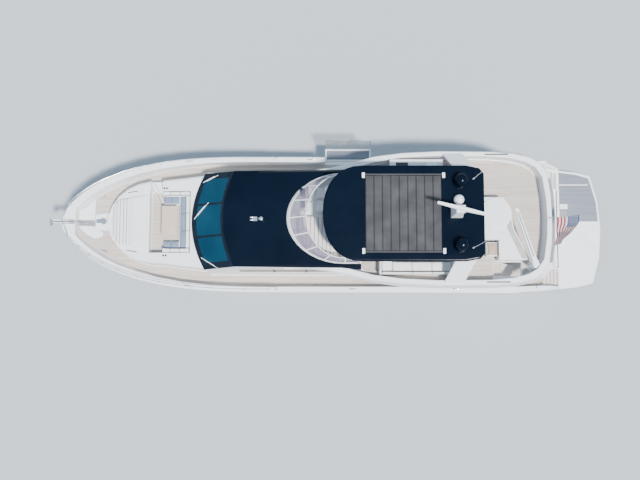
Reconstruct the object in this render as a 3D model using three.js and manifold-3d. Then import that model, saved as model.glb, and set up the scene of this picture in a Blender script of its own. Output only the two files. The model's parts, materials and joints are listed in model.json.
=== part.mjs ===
// Flybridge motor yacht, afloat, with its whole hull below the waterline.
// Millimetres. Origin amidships on the centreline at the waterline, +X to the bow, +Y to port, +Z up.
import * as THREE from "three";
import { mergeVertices } from "three/addons/utils/BufferGeometryUtils.js";
import Module from "manifold-3d";

const wasm = await Module();
wasm.setup();

// Driving dimensions
const BOW_X = 13050; // stem head
const HULL_AFT_X = -10900; // transom below the swim platform
const BEAM_HALF = 3250; // at the bulwark cap
const SIDE_DECK_Z = 2100;
const CAP_Z = 2720; // bulwark cap amidships
const CAP_RISE = 950; // extra height of the cap at the bow
const CAP_WIDTH = 260;
const SIDE_WALL = 110; // bulwark thickness at the deck, at least
const KEEL_Z = -950;
const WELL_FRONT_X = 12400;
const WELL_AFT_X = -9600;
const HOUSE_AFT_X = -6200;
const HOUSE_TOP_Z = 4000; // under the fly deck
const SCREEN_TOP_Z = 4720; // under the forward roof
const FLY_SOLE_Z = 4300;
const FLY_COAMING_Z = 5050;
const HARDTOP_Z = 6450; // underside
const HARDTOP_THICK = 170;
const PLATFORM_TOP_Z = 550;
const TEAK = 12; // top of the teak over the deck
const GAP = 0.3; // between touching pieces

const FINISH = {
  gelcoat: { color: 0xf4f5f6, roughness: 0.25, metalness: 0 },
  teak: { color: 0xa08e80, roughness: 0.7, metalness: 0 },
  glass: { color: 0x101c2c, roughness: 0.05, metalness: 0 },
  gloss: { color: 0x0b1a30, roughness: 0.15, metalness: 0 },
  steel: { color: 0xc9ccd0, roughness: 0.2, metalness: 1 },
  bronze: { color: 0xb08a50, roughness: 0.35, metalness: 1 },
  vinyl: { color: 0xf0f0ee, roughness: 0.6, metalness: 0 },
  grey: { color: 0x7d8694, roughness: 0.5, metalness: 0 },
  cloth: { color: 0xb33548, roughness: 0.9, metalness: 0 },
  tan: { color: 0xb9a392, roughness: 0.8, metalness: 0 },
};

const yacht = new THREE.Group();

// Geometry of a solid, ready for a mesh.
function geometryOf(solid) {
  const { numProp, vertProperties, triVerts } = solid.getMesh();
  const count = vertProperties.length / numProp;
  const position = new Float32Array(count * 3);
  for (let i = 0; i < count; i++) {
    position.set(vertProperties.subarray(i * numProp, i * numProp + 3), i * 3);
  }
  const geometry = new THREE.BufferGeometry();
  geometry.setAttribute("position", new THREE.BufferAttribute(position, 3));
  geometry.setIndex(new THREE.BufferAttribute(new Uint32Array(triVerts), 1));
  return geometry;
}

// Adds a finished solid to the yacht as one named mesh.
function fit(name, solid, finish) {
  const geometry = geometryOf(solid);
  geometry.computeVertexNormals();
  const mesh = new THREE.Mesh(geometry, new THREE.MeshStandardMaterial(FINISH[finish]));
  mesh.name = name;
  yacht.add(mesh);
  return mesh;
}

// The same solid moved, turned or mirrored by a matrix.
function moved(solid, matrix) {
  return solidOf(geometryOf(solid).applyMatrix4(matrix));
}
const ACROSS = new THREE.Matrix4().makeScale(1, -1, 1); // port to starboard

// Turns a closed three.js geometry into a solid that can be joined and cut.
function solidOf(geometry) {
  const bare = new THREE.BufferGeometry();
  bare.setAttribute("position", geometry.getAttribute("position"));
  if (geometry.index) bare.setIndex(geometry.index);
  const merged = mergeVertices(bare, 1e-3);
  const triVerts = new Uint32Array(merged.index.array);
  const vertProperties = new Float32Array(merged.attributes.position.array);
  const make = () => new wasm.Manifold(new wasm.Mesh({ numProp: 3, vertProperties, triVerts }));
  const solid = make();
  if (solid.volume() > 0) return solid;
  for (let i = 0; i < triVerts.length; i += 3) {
    [triVerts[i + 1], triVerts[i + 2]] = [triVerts[i + 2], triVerts[i + 1]];
  }
  return make();
}

// Solid through planar rings with the same number of points, closed at both ends.
function loft(rings) {
  const n = rings[0].length;
  const index = [];
  for (let r = 0; r + 1 < rings.length; r++) {
    for (let i = 0; i < n; i++) {
      const a = r * n + i;
      const b = r * n + ((i + 1) % n);
      index.push(a, b, b + n, a, b + n, a + n);
    }
  }
  const flat = [0, 1, 2].find((k) => rings[0].every((p) => p[k] === rings[0][0][k]));
  const [u, v] = [0, 1, 2].filter((k) => k !== flat);
  for (const r of [0, rings.length - 1]) {
    const contour = rings[r].map((p) => new THREE.Vector2(p[u], p[v]));
    const turn = Math.sign(THREE.ShapeUtils.area(contour)) * (r === 0 ? -1 : 1);
    for (const [a, b, c] of THREE.ShapeUtils.triangulateShape(contour, [])) {
      const way = Math.sign(THREE.ShapeUtils.area([contour[a], contour[b], contour[c]]));
      index.push(r * n + a, r * n + (way === turn ? b : c), r * n + (way === turn ? c : b));
    }
  }
  const geometry = new THREE.BufferGeometry();
  geometry.setAttribute("position", new THREE.Float32BufferAttribute(rings.flat(2), 3));
  geometry.setIndex(index);
  return solidOf(geometry);
}

// Ring at station x from the port half of its section, bottom to top, mirrored to starboard.
function section(x, half) {
  const port = half.map(([y, z]) => [x, y, z]);
  const starboard = half.filter(([y]) => y > 0).map(([y, z]) => [x, -y, z]);
  return [...port, ...starboard.reverse()];
}

// Solid lofted along X through sections given by a function of x.
function hullform(stations, halfAt) {
  return loft(stations.map((x) => section(x, halfAt(x))));
}

function box(x0, x1, y0, y1, z0, z1) {
  const shape = new THREE.BoxGeometry(x1 - x0, y1 - y0, z1 - z0);
  return solidOf(shape.translate((x0 + x1) / 2, (y0 + y1) / 2, (z0 + z1) / 2));
}

// Upright prism on a plan outline of [x, y] points.
function prism(outline, z0, z1) {
  const shape = new THREE.Shape(outline.map(([x, y]) => new THREE.Vector2(x, y)));
  const slab = new THREE.ExtrudeGeometry(shape, { depth: z1 - z0, bevelEnabled: false });
  return solidOf(slab.translate(0, 0, z0));
}

// Prism along Y on a side outline of [x, z] points.
function sideprism(outline, y0, y1) {
  return loft([y0, y1].map((y) => outline.map(([x, z]) => [x, y, z])));
}

// Round bar from p to q, its facets turned by a share of one facet.
function rod(p, q, radius, sides = 12, radiusEnd = radius, share = 0) {
  const from = new THREE.Vector3(...p);
  const along = new THREE.Vector3(...q).sub(from);
  const start = (share * 2 * Math.PI) / sides;
  const bar = new THREE.CylinderGeometry(radiusEnd, radius, along.length(), sides, 1, false, start);
  bar.translate(0, along.length() / 2, 0);
  const turn = new THREE.Quaternion();
  turn.setFromUnitVectors(new THREE.Vector3(0, 1, 0), along.clone().normalize());
  bar.applyQuaternion(turn).translate(...p);
  return solidOf(bar);
}

// Bore from p to q that a bar of the given radius turns in, its flats against the bar's edges.
function bore(p, q, radius, sides = 12) {
  const wide = radius / Math.cos(Math.PI / sides) + GAP;
  return rod(p, q, wide, sides, wide, 0.5);
}

// Bent tube through a list of points.
function tube(points, radius, sides = 8, steps = 3) {
  const path = new THREE.CatmullRomCurve3(
    points.map((p) => new THREE.Vector3(...p)),
    false,
    "centripetal",
  );
  const ring = new THREE.Shape();
  ring.absarc(0, 0, radius, 0, 2 * Math.PI, false);
  const options = { steps: (points.length - 1) * steps, extrudePath: path, curveSegments: sides };
  return solidOf(new THREE.ExtrudeGeometry(ring, { ...options, bevelEnabled: false }));
}

// Turned solid on an upright axis through [x, y], from [radius, z] points.
function turned(x, y, profile, sides = 20) {
  const points = profile.map(([r, z]) => new THREE.Vector2(r, z));
  const shape = new THREE.LatheGeometry(points, sides).rotateX(Math.PI / 2);
  return solidOf(shape.translate(x, y, 0));
}

function join(...solids) {
  return solids.reduce((all, one) => all.add(one));
}

function cut(solid, ...tools) {
  return tools.reduce((left, tool) => left.subtract(tool), solid);
}

// Points of a symmetric plan outline from its port side, given bow to stern.
function mirrored(port) {
  const starboard = port.filter(([, y]) => y > 0).map(([x, y]) => [x, -y]);
  return [...port, ...starboard.reverse()];
}

const clamp = (v, low, high) => Math.min(Math.max(v, low), high);
const mix = (a, b, t) => a + (b - a) * t;

// Lines of the hull: half-breadths and heights as functions of x
function sheerY(x) {
  if (x > 3000) return Math.max(60, BEAM_HALF * (1 - ((x - 3000) / 10050) ** 3) ** 0.62);
  if (x < -8000) return BEAM_HALF - 0.00003 * (x + 8000) ** 2;
  return BEAM_HALF;
}
function sheerZ(x) {
  if (x > 0) return CAP_Z + CAP_RISE * (x / BOW_X) ** 1.8;
  if (x < -8500) return CAP_Z - 0.00028 * (x + 8500) ** 2;
  return CAP_Z;
}
function keelZ(x) {
  if (x > 9000) return KEEL_Z + 6.46e-8 * (x - 9000) ** 3;
  return KEEL_Z + 0.019 * Math.max(0, -2000 - x);
}
function chineY(x) {
  const t = clamp((x - 1500) / 10500, 0, 1);
  return Math.max(30, 2900 * (1 - t ** 2.6) ** 0.8);
}
function chineZ(x) {
  const z = -150 + 1900 * (Math.max(0, x) / 12000) ** 2.4;
  return Math.max(z, keelZ(x) + 60);
}
function deckZ(x) {
  return SIDE_DECK_Z + 0.0000072 * Math.max(0, x - 1000) ** 2;
}
function wellY(x) {
  return sheerY(x > 2750 ? x + 250 : x) - CAP_WIDTH;
}

// One half section of the hull, from the keel up to the middle of the cap.
function hullHalf(x) {
  const flare = 170 * clamp((x - 3000) / 7000, 0, 1);
  const foot = [chineY(x) + 55, chineZ(x) + 30];
  const shoulder = [sheerY(x), sheerZ(x) - 60];
  const side = (t, inset) => [
    Math.max(40, mix(foot[0], shoulder[0], t) - inset),
    mix(foot[1], shoulder[1], t),
  ];
  return [
    [0, keelZ(x)],
    [chineY(x) * 0.5, mix(keelZ(x), chineZ(x), 0.5) - 30],
    [chineY(x), chineZ(x)],
    foot,
    side(0.35, flare * 0.8),
    side(0.7, flare * 0.7),
    shoulder,
    [Math.max(20, sheerY(x) - 40), sheerZ(x)],
  ];
}

const HULL_STATIONS = [
  BOW_X, 12900, 12600, 12200, 11700, 11100, 10400, 9500, 8500, 7300, 6000, 4500, 3000, 0, -4000,
  -8000, -8800, -9600, -10100, -10500, HULL_AFT_X,
];
const DECK_STATIONS = [
  WELL_FRONT_X, 12200, 11900, 11500, 11000, 10400, 9600, 8600, 7400, 6200, 5000, 3500, 2000, 1000,
  -3000, -8000, -8800, WELL_AFT_X,
];

// Value of a line at x, on the flat facets between stations.
function onFacets(stations, line, x) {
  const i = clamp(stations.findIndex((s) => s <= x), 1, stations.length - 1);
  const [a, b] = [stations[i - 1], stations[i]];
  return mix(line(a), line(b), (x - a) / (b - a));
}

// Half-breadth of the hull's side at a height.
function sideY(x, z) {
  const line = hullHalf(x);
  const i = clamp(line.findIndex((p) => p[1] >= z), 1, line.length - 1);
  const [a, b] = [line[i - 1], line[i]];
  return mix(a[0], b[0], (z - a[1]) / (b[1] - a[1]));
}

// Half-breadth of the deck at the foot of the bulwark.
function deckY(x) {
  return Math.min(wellY(x), sideY(x, deckZ(x)) - SIDE_WALL);
}

// Hollow of the open deck between the bulwarks.
const deckWell = () =>
  hullform(DECK_STATIONS, (x) => [
    [deckY(x), deckZ(x)],
    [wellY(x), sheerZ(x) - 60],
    [wellY(x), deckZ(x) + 3000],
  ]);

// Thin layer on the deck between two heights, a margin short of the bulwarks.
function deckLayer(low, high, margin) {
  return hullform(DECK_STATIONS, (x) => [
    [deckY(x) - margin, deckZ(x) + low],
    [deckY(x) - margin, deckZ(x) + high],
  ]);
}

// Everything below the deck raised by a given height.
function underDeck(rise) {
  return hullform(DECK_STATIONS, (x) => [
    [4000, 0],
    [4000, deckZ(x) + rise],
  ]);
}

// Balcony in the starboard bulwark
const BALCONY = {
  x0: -1505,
  x1: 705,
  hingeY: -3200,
  hingeZ: 2050,
  reach: 570,
  half: 50, // half its thickness
  play: 15,
  pin: 20,
};

// Running gear: one table for both sides
const SHAFT = {
  y: 1150,
  x0: -7000,
  z0: -560,
  x1: -9750,
  z1: -1240,
  radius: 42,
  bracketX: -9380,
  bracketTop: -420,
  hub: 75, // radius of the bracket's barrel
};
const SHAFT_WAY = new THREE.Vector3(SHAFT.x1 - SHAFT.x0, 0, SHAFT.z1 - SHAFT.z0).normalize();
const shaftAt = (x) => mix(SHAFT.z0, SHAFT.z1, (x - SHAFT.x0) / (SHAFT.x1 - SHAFT.x0));
const RUDDER = { y: 1300, x: -10300, stock: 45, top: -380, bladeTop: -800, bladeLow: -1790 };
const SIDES = [
  { side: "port", s: 1 },
  { side: "starboard", s: -1 },
];

// Swim platform and its lift arms
const LIFT = {
  length: 900,
  rise: 30, // degrees above level at rest
  hullX: -11060,
  upperZ: -345,
  lowerZ: -530,
  pin: 28,
  boss: 48, // radius of the arms' round ends
  bar: 30, // radius of the tube that ties the two arms of a pair
  arms: [-900, 900],
  thick: 60,
  deep: 45, // half depth of an arm
  lug: 50, // half height of the hull's lugs
  lugThick: 30,
  play: 5,
};
LIFT.dx = LIFT.length * Math.cos(THREE.MathUtils.degToRad(LIFT.rise));
LIFT.dz = LIFT.length * Math.sin(THREE.MathUtils.degToRad(LIFT.rise));
LIFT.aftX = LIFT.hullX - LIFT.dx; // pins under the platform

// The two sides, [low, high] in Y, of the lugs beside the arm at y.
const lugs = (y) =>
  [-1, 1].map((side) => {
    const inner = y + side * (LIFT.thick / 2 + LIFT.play);
    return [inner, inner + side * LIFT.lugThick].sort((a, b) => a - b);
  });

const BARE_HULL = hullform(HULL_STATIONS, hullHalf);

function makeHull() {
  let hull = cut(BARE_HULL, deckWell());
  const inside = BEAM_HALF - CAP_WIDTH - 90;
  hull = cut(hull, box(HULL_AFT_X - 100, WELL_AFT_X + 1, -inside, inside, 450, 3000));
  const b = BALCONY;
  const low = b.hingeZ - b.half - b.play;
  const notch = box(b.x0 - b.play, b.x1 + b.play, -3500, b.hingeY + b.half + b.play, low, 4000);
  const gate = box(b.x0 - b.play, b.x1 + b.play, -3500, -2980, SIDE_DECK_Z, 4000);
  const pins = bore([b.x0 - 62, b.hingeY, b.hingeZ], [b.x1 + 62, b.hingeY, b.hingeZ], b.pin);
  hull = cut(hull, notch, gate, pins);
  for (const { s } of SIDES) {
    const y = s * SHAFT.y;
    const bx = SHAFT.bracketX;
    const on = (d) => [bx + SHAFT_WAY.x * d, y, shaftAt(bx) + SHAFT_WAY.z * d];
    // Strut levels from the hull down: half length, half thickness, height
    const levels = [[160, 18, SHAFT.bracketTop], [90, 14, shaftAt(bx)]];
    const strut = loft(levels.map(([long, thick, z]) => [
      [bx + long, y - thick, z], [bx - long, y - thick, z], [bx - long, y + thick, z], [bx + long, y + thick, z],
    ]));
    const barrel = rod(on(-120), on(120), SHAFT.hub, 16);
    hull = cut(join(hull, strut, barrel), bore(on(-200), on(200), SHAFT.radius));
    const tunnel = bore([SHAFT.x0 + 5, y, shaftAt(SHAFT.x0 + 5)], [-9000, y, shaftAt(-9000)], SHAFT.radius);
    const stock = bore([RUDDER.x, s * RUDDER.y, -900], [RUDDER.x, s * RUDDER.y, RUDDER.top], RUDDER.stock);
    hull = cut(hull, tunnel, stock);
  }
  for (const y of LIFT.arms) {
    for (const z of [LIFT.upperZ, LIFT.lowerZ]) {
      for (const [y0, y1] of lugs(y)) {
        hull = join(hull, box(LIFT.hullX - 45, HULL_AFT_X + 20, y0, y1, z - LIFT.lug, z + LIFT.lug));
      }
      hull = join(hull, rod([LIFT.hullX, y - 65, z], [LIFT.hullX, y + 65, z], LIFT.pin));
    }
  }
  for (const y of [-75, 45]) {
    hull = join(hull, box(12650, 13420, y, y + 30, 3600, 3790));
  }
  hull = join(hull, box(12650, 13420, -75, 75, 3600, 3676));
  fit("hull", hull, "gelcoat");
}

// Superstructure lines
function houseOutline(z, grow) {
  const levels = [
    { z: SIDE_DECK_Z - 50, half: 2400, front: 6850, arc: 0.00012 },
    { z: 3700, half: 2280, front: 6850, arc: 0.00012 },
    { z: SCREEN_TOP_Z, half: 2150, front: 5330, arc: 0.000108 },
  ];
  const k = z < levels[1].z ? 0 : 1;
  const t = (z - levels[k].z) / (levels[k + 1].z - levels[k].z);
  const at = (key) => mix(levels[k][key], levels[k + 1][key], t);
  const half = at("half") + grow;
  const points = [];
  for (let i = 0; i <= 6; i++) {
    const y = half * (i / 6);
    points.push([at("front") + grow - at("arc") * y * y, y]);
  }
  points.push([HOUSE_AFT_X - grow, half]);
  return mirrored(points);
}
function houseBody(grow, low, high) {
  const levels = [low, 3700, high].filter((z, i) => i !== 1 || (low < z && z < high));
  return loft(levels.map((z) => houseOutline(z, grow).map(([x, y]) => [x, y, z])));
}
const HOUSE_WALL = 60;
const GLASS = { inset: 18, thick: 14 };
function houseShell(outer, inner) {
  const around = houseBody(outer, SIDE_DECK_Z - 50, SCREEN_TOP_Z);
  return around.subtract(houseBody(inner, SIDE_DECK_Z - 60, SCREEN_TOP_Z + 0.1));
}

// Openings of the deckhouse: [name, x0, x1, y0, y1, z0, z1]
const PANES = [
  ["windscreen", 4300, 7200, -1980, 1980, 3770, 4640],
  ["aft_glass", -6300, -6100, 0, 1750, 2450, 3850],
  ["side_glass_port", -4400, 4700, 2000, 2500, 2950, 3850],
  ["side_glass_starboard", -4400, 4700, -2500, -2000, 2950, 3850],
];
const DOORWAY = { y0: -1250, y1: -250, top: 3850 };

function makeHouse() {
  let house = houseShell(0, -HOUSE_WALL);
  house = cut(house, underDeck(GAP), box(-7000, FLY_FRONT_X + GAP, -3000, 3000, HOUSE_TOP_Z, 5000));
  for (const [, x0, x1, y0, y1, z0, z1] of PANES) {
    house = cut(house, box(x0, x1, y0, y1, z0, z1));
  }
  const { y0, y1, top } = DOORWAY;
  house = cut(house, box(HOUSE_AFT_X - 200, HOUSE_AFT_X + 200, y0, y1, SIDE_DECK_Z - 10, top));
  const pane = houseShell(-GLASS.inset, -GLASS.inset - GLASS.thick);
  fit("deckhouse", house, "gelcoat");
  for (const [name, x0, x1, y0, y1, z0, z1] of PANES) {
    const hole = box(x0 + GAP, x1 - GAP, y0 + GAP, y1 - GAP, z0 + GAP, z1 - GAP);
    fit(name, pane.intersect(hole), "glass");
  }
  const doorX = HOUSE_AFT_X + HOUSE_WALL + 8;
  let door = box(doorX, doorX + 40, y0 - 60, y1 + 60, SIDE_DECK_Z + 15, 3900);
  for (const y of [y0, y1 - 120]) {
    door = join(door, box(doorX, doorX + 40, y, y + 120, SIDE_DECK_Z + GAP, SIDE_DECK_Z + 20));
  }
  fit("cockpit_door", door, "glass");
}

// Raised trunk of the fore deck, with the seating well cut in it
const TRUNK = { front: 10920, widest: 8300, half: 2020, topZ: 3620, aft: 5600 };
function trunkY(x) {
  if (x <= TRUNK.widest) return TRUNK.half + 0.13 * (TRUNK.widest - x) * 0.9;
  const t = (x - TRUNK.widest) / (TRUNK.front - TRUNK.widest);
  return TRUNK.half * Math.sqrt(Math.max(0.004, 1 - t ** 2.4));
}
function trunkTop(x) {
  return TRUNK.topZ - 0.06 * Math.max(0, x - 9000);
}
const TRUNK_STATIONS = [TRUNK.front, 10860, 10700, 10400, 10000, 9500, 8900, TRUNK.widest, 7000, TRUNK.aft];
const SEAT_WELL = { x0: 7020, x1: 8930, half: 1450, floorZ: 2960 };

function makeForedeck() {
  const trunk = (grow) =>
    hullform(TRUNK_STATIONS.map((x, i) => x + (i === 0 ? grow : 0)), (x) => [
      [trunkY(Math.min(x, TRUNK.front)) + grow, 2000],
      [trunkY(Math.min(x, TRUNK.front)) + grow - 60, trunkTop(x) - 90],
      [Math.max(40, trunkY(Math.min(x, TRUNK.front)) + grow - 150), trunkTop(x)],
    ]);
  const w = SEAT_WELL;
  let body = cut(trunk(0), underDeck(GAP), houseBody(GAP, SIDE_DECK_Z - 50, SCREEN_TOP_Z));
  body = cut(body, box(w.x0, w.x1, -w.half, w.half, w.floorZ, 4500));
  body = cut(body, box(8330, 8880, -3000, -w.half + 10, w.floorZ + 150, 4500));
  fit("fore_trunk", body, "gelcoat");

  let teak = deckLayer(GAP, TEAK, 12);
  teak = cut(teak, trunk(25), houseBody(25, SIDE_DECK_Z - 50, SCREEN_TOP_Z));
  fit("deck_teak", teak, "teak");

  const pad = mirrored([
    [10700, 0], [10660, 600], [10500, 950], [10300, 1090], [9000, 1300],
  ]);
  const padLow = 3520;
  const slope = hullform([11000, 9000, 8000], (x) => [
    [2000, 3000],
    [2000, trunkTop(x) + GAP],
  ]);
  fit("fore_sunpad", cut(prism(pad, padLow - 100, TRUNK.topZ + 110), slope), "vinyl");

  const seatZ = 3360;
  const backZ = 3690;
  const u = mirrored([
    [8320, 870], [8320, 1430], [7040, 1430],
  ]);
  const sofa = cut(
    prism(u, w.floorZ + GAP, backZ),
    box(7560, 8400, -870, 870, w.floorZ - 10, backZ + 10),
    box(7230, 8400, -1240, 1240, seatZ, backZ + 10),
  );
  fit("fore_sofa", sofa, "vinyl");

  const top = box(7620, 8350, -740, 640, 3620, 3660);
  const leg = rod([7985, -50, w.floorZ + GAP], [7985, -50, 3630], 55, 16);
  const foot = rod([7985, -50, w.floorZ + GAP], [7985, -50, w.floorZ + 25], 170, 16);
  fit("fore_table", join(top, leg, foot), "tan");
}

// Plan of the fly deck: half width by x, bow to stern
const FLY_FRONT_X = 2600;
const ROOF_AFT_X = -900; // where the glossy forward roof ends at the sides
const FLY_PLAN = [
  [FLY_FRONT_X, 2210], [1400, 2280], [500, 2390], [-500, 2640], [-1500, 2900], [-2800, 3080],
  [-4500, 3160], [-7000, 3140], [-8000, 3050], [-8700, 2890], [-9150, 2640], [-9450, 2200],
  [-9600, 1200], [-9640, 0],
];
// Stairs from the cockpit and the hole above them
const STAIRS = {
  y0: 1965,
  y1: 2585,
  holeAft: -8250,
  holeFore: -6950,
  holeSide: 15, // play beside the stairs
  footX: -8235,
  steps: 7,
  rise: 273,
  going: 138,
  deep: 250, // along X, from a riser to the underside
  topDeep: 150,
};

const inset = (plan, d) =>
  plan.map(([x, y]) => [x > 0 ? x : x + d * clamp(-x / 9000, 0, 1), Math.max(0, y - d)]);

function makeFly() {
  const port = FLY_PLAN;
  const lip = port.map(([x, y]) => [x < -8000 ? x - 300 * clamp((-8000 - x) / 1500, 0, 1) : x, y]);
  const through = (levels) =>
    loft(levels.map(([z, plan, d]) => mirrored(inset(plan, d)).map(([x, y]) => [x, y, z])));
  const floor = through([
    [HOUSE_TOP_Z + GAP, lip, 120],
    [HOUSE_TOP_Z + 60, lip, 20],
    [FLY_SOLE_Z, port, 0],
  ]);
  const { y0, y1, holeAft, holeFore, holeSide } = STAIRS;
  const hole = box(holeAft, holeFore, y0 - holeSide, y1 + holeSide, HOUSE_TOP_Z - 10, FLY_SOLE_Z + 10);
  fit("fly_deck", cut(floor, hole), "gelcoat");

  let coaming = through([
    [FLY_SOLE_Z + GAP, port, 0],
    [FLY_COAMING_Z - 120, port, 90],
    [FLY_COAMING_Z, port, 140],
  ]);
  const inner = mirrored(inset(port, 330)).map(([x, y]) => [Math.min(x, 2300), y]);
  coaming = cut(coaming, prism(inner, FLY_SOLE_Z - 10, FLY_COAMING_Z + 50));
  const arc = arcPlan(SCREEN.baseX, SCREEN.baseY, GAP);
  const ramp = [
    [-2400, FLY_COAMING_Z + 1], [ROOF_AFT_X, SCREEN_TOP_Z], [3000, SCREEN_TOP_Z], [3000, 5300], [-2400, 5300],
  ];
  fit("fly_coaming", cut(coaming, sideprism(ramp, -3500, 3500)), "gelcoat");

  let roof = hullform([5380, 5300, 4600, 3800, 3000, 2000, 1000, 0, ROOF_AFT_X], (x) => {
    const half = 2190 + 60 * clamp((5000 - x) / 5000, 0, 1) + Math.max(0, -x) * 0.1;
    const rise = 150 * clamp((5380 - x) / 2600, 0, 1);
    return [
      [half, SCREEN_TOP_Z + GAP],
      [half, SCREEN_TOP_Z + 50],
      [half - 110, SCREEN_TOP_Z + 90 + rise * 0.7],
      [half * 0.5, SCREEN_TOP_Z + 120 + rise],
      [0, SCREEN_TOP_Z + 130 + rise],
    ];
  });
  roof = cut(roof, prism(arc, 4000, 6000));
  const nose = mirrored([
    [5360, 0], [5330, 700], [5200, 1200], [5040, 1700], [4800, 2400], [-4000, 2400],
  ]);
  roof = roof.intersect(prism(nose, 4500, 6000));
  fit("forward_roof", roof, "gloss");
}

// Wind deflector of the fly bridge: arcs of its foot and of its top
const SCREEN = {
  baseX: 2480,
  baseY: 2080,
  topX: 1620,
  topY: 1900,
  backX: -100,
  endX: -700, // aft ends of the glass
  footZ: 4880,
  sillZ: 4990, // foot of the glass
  topZ: 5620,
};
function arcPlan(frontX, half, grow) {
  const points = [];
  for (let i = 0; i <= 10; i++) {
    const a = (i / 10) * (Math.PI / 2);
    const x = SCREEN.backX + (frontX + grow - SCREEN.backX) * Math.cos(a);
    points.push([x, (half + grow) * Math.sin(a)]);
  }
  points.push([SCREEN.backX - 1700, half + grow]);
  return mirrored(points);
}

function makeFlyFront() {
  const wall = (grow, low, high) => {
    const t = (z) => clamp((z - SCREEN.footZ) / (SCREEN.topZ - SCREEN.footZ), 0, 2);
    const ringAt = (z) =>
      arcPlan(mix(SCREEN.baseX, SCREEN.topX, t(z)), mix(SCREEN.baseY, SCREEN.topY, t(z)), grow);
    const levels = [low, SCREEN.footZ, high].filter((z, i) => i !== 1 || (low < z && z < high));
    return loft(levels.map((z) => ringAt(z).map(([x, y]) => [x, y, z])));
  };
  const low = SCREEN_TOP_Z + GAP;
  const sole = FLY_SOLE_Z + GAP;
  const band = (outer, inner, z0, z1) => cut(wall(outer, z0, z1), wall(inner, z0 - 10, z1 + 10));
  const ahead = (x) => box(x, 4000, -3000, 3000, 0, 8000);
  const sill = SCREEN.sillZ;
  const surround = cut(wall(0, low, sill), wall(-70, low - 10, sill + 10)).intersect(ahead(ROOF_AFT_X));
  const glass = band(-20, -30, sill + GAP, SCREEN.topZ).intersect(ahead(SCREEN.endX));
  const rail = band(-14, -36, SCREEN.topZ + GAP, SCREEN.topZ + 30).intersect(ahead(SCREEN.endX));
  fit("fly_screen", glass, "glass");
  fit("fly_screen_rail", rail, "steel");

  const dash = sideprism(
    [[2290, sole], [2290, 4950], [1900, 5080], [1560, 4960], [1480, 4800], [1600, sole]],
    -1450,
    -350,
  ).intersect(wall(-60, 4000, 5200));
  const hub = [1492, -900, 4905];
  const away = new THREE.Vector3(-0.62, 0, 0.35).normalize();
  const at = (d) => [hub[0] + away.x * d, hub[1], hub[2] + away.z * d];
  fit("fly_console", join(surround, dash, rod(at(-120), at(30 - GAP), 30, 14)), "gelcoat");
  const rim = new THREE.TorusGeometry(190, 14, 8, 28);
  const turn = new THREE.Quaternion().setFromUnitVectors(new THREE.Vector3(0, 0, 1), away);
  rim.applyQuaternion(turn).translate(...at(90));
  let wheel = join(solidOf(rim), rod(at(30), at(105), 36, 14));
  for (let i = 0; i < 3; i++) {
    const spoke = new THREE.Vector3(0, 188, 0);
    spoke.applyAxisAngle(new THREE.Vector3(0, 0, 1), (i * 2 * Math.PI) / 3).applyQuaternion(turn);
    const c = at(90);
    wheel = join(wheel, rod(c, [c[0] + spoke.x, c[1] + spoke.y, c[2] + spoke.z], 10, 8));
  }
  fit("fly_wheel", wheel, "steel");
}

function makeFlyFurniture() {
  const sole = FLY_SOLE_Z + GAP;
  for (const [name, y] of [["helm_seat_starboard", -1180], ["helm_seat_centre", -560]]) {
    const post = rod([850, y, sole], [850, y, 4760], 60, 14);
    const foot = rod([850, y, sole], [850, y, sole + 30], 190, 16);
    const seat = box(600, 1120, y - 270, y + 270, 4740, 4880);
    const back = box(560, 700, y - 270, y + 270, 4860, 5430);
    fit(name, join(post, foot, seat, back), "vinyl");
  }
  const lounge = [[300, -150], [1990, -150], [1990, 600], [1700, 1150], [1250, 1640], [300, 1760]];
  fit("fly_lounge", prism(lounge, sole, 4740), "vinyl");
  const bar = [
    [-6450, -950], [-7350, -950], [-7650, -400], [-7800, 500], [-8500, 1900], [-7100, 1900],
    [-7100, 1000], [-6450, 1000],
  ];
  const seat = box(-7110, -6580, 1090, 1720, sole, 4760);
  fit("fly_bar", join(prism(bar, sole, 5000), seat), "gelcoat");
  const sofa = cut(
    box(-5600, -1700, 900, 2550, sole, 5020),
    box(-5000, -2300, 500, 1950, sole - 10, 5100),
    box(-5480, -1820, 500, 2430, 4730, 5100),
  );
  fit("fly_sofa", sofa, "vinyl");
  const table = join(
    box(-4300, -2700, 650, 1450, 5000, 5040),
    rod([-3500, 1050, sole], [-3500, 1050, 5010], 60, 16),
    rod([-3500, 1050, sole], [-3500, 1050, sole + 30], 220, 16),
  );
  fit("fly_table", table, "teak");
  fit("fly_galley", box(-4600, -2200, -2650, -1950, sole, 5180), "gelcoat");
}

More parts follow.
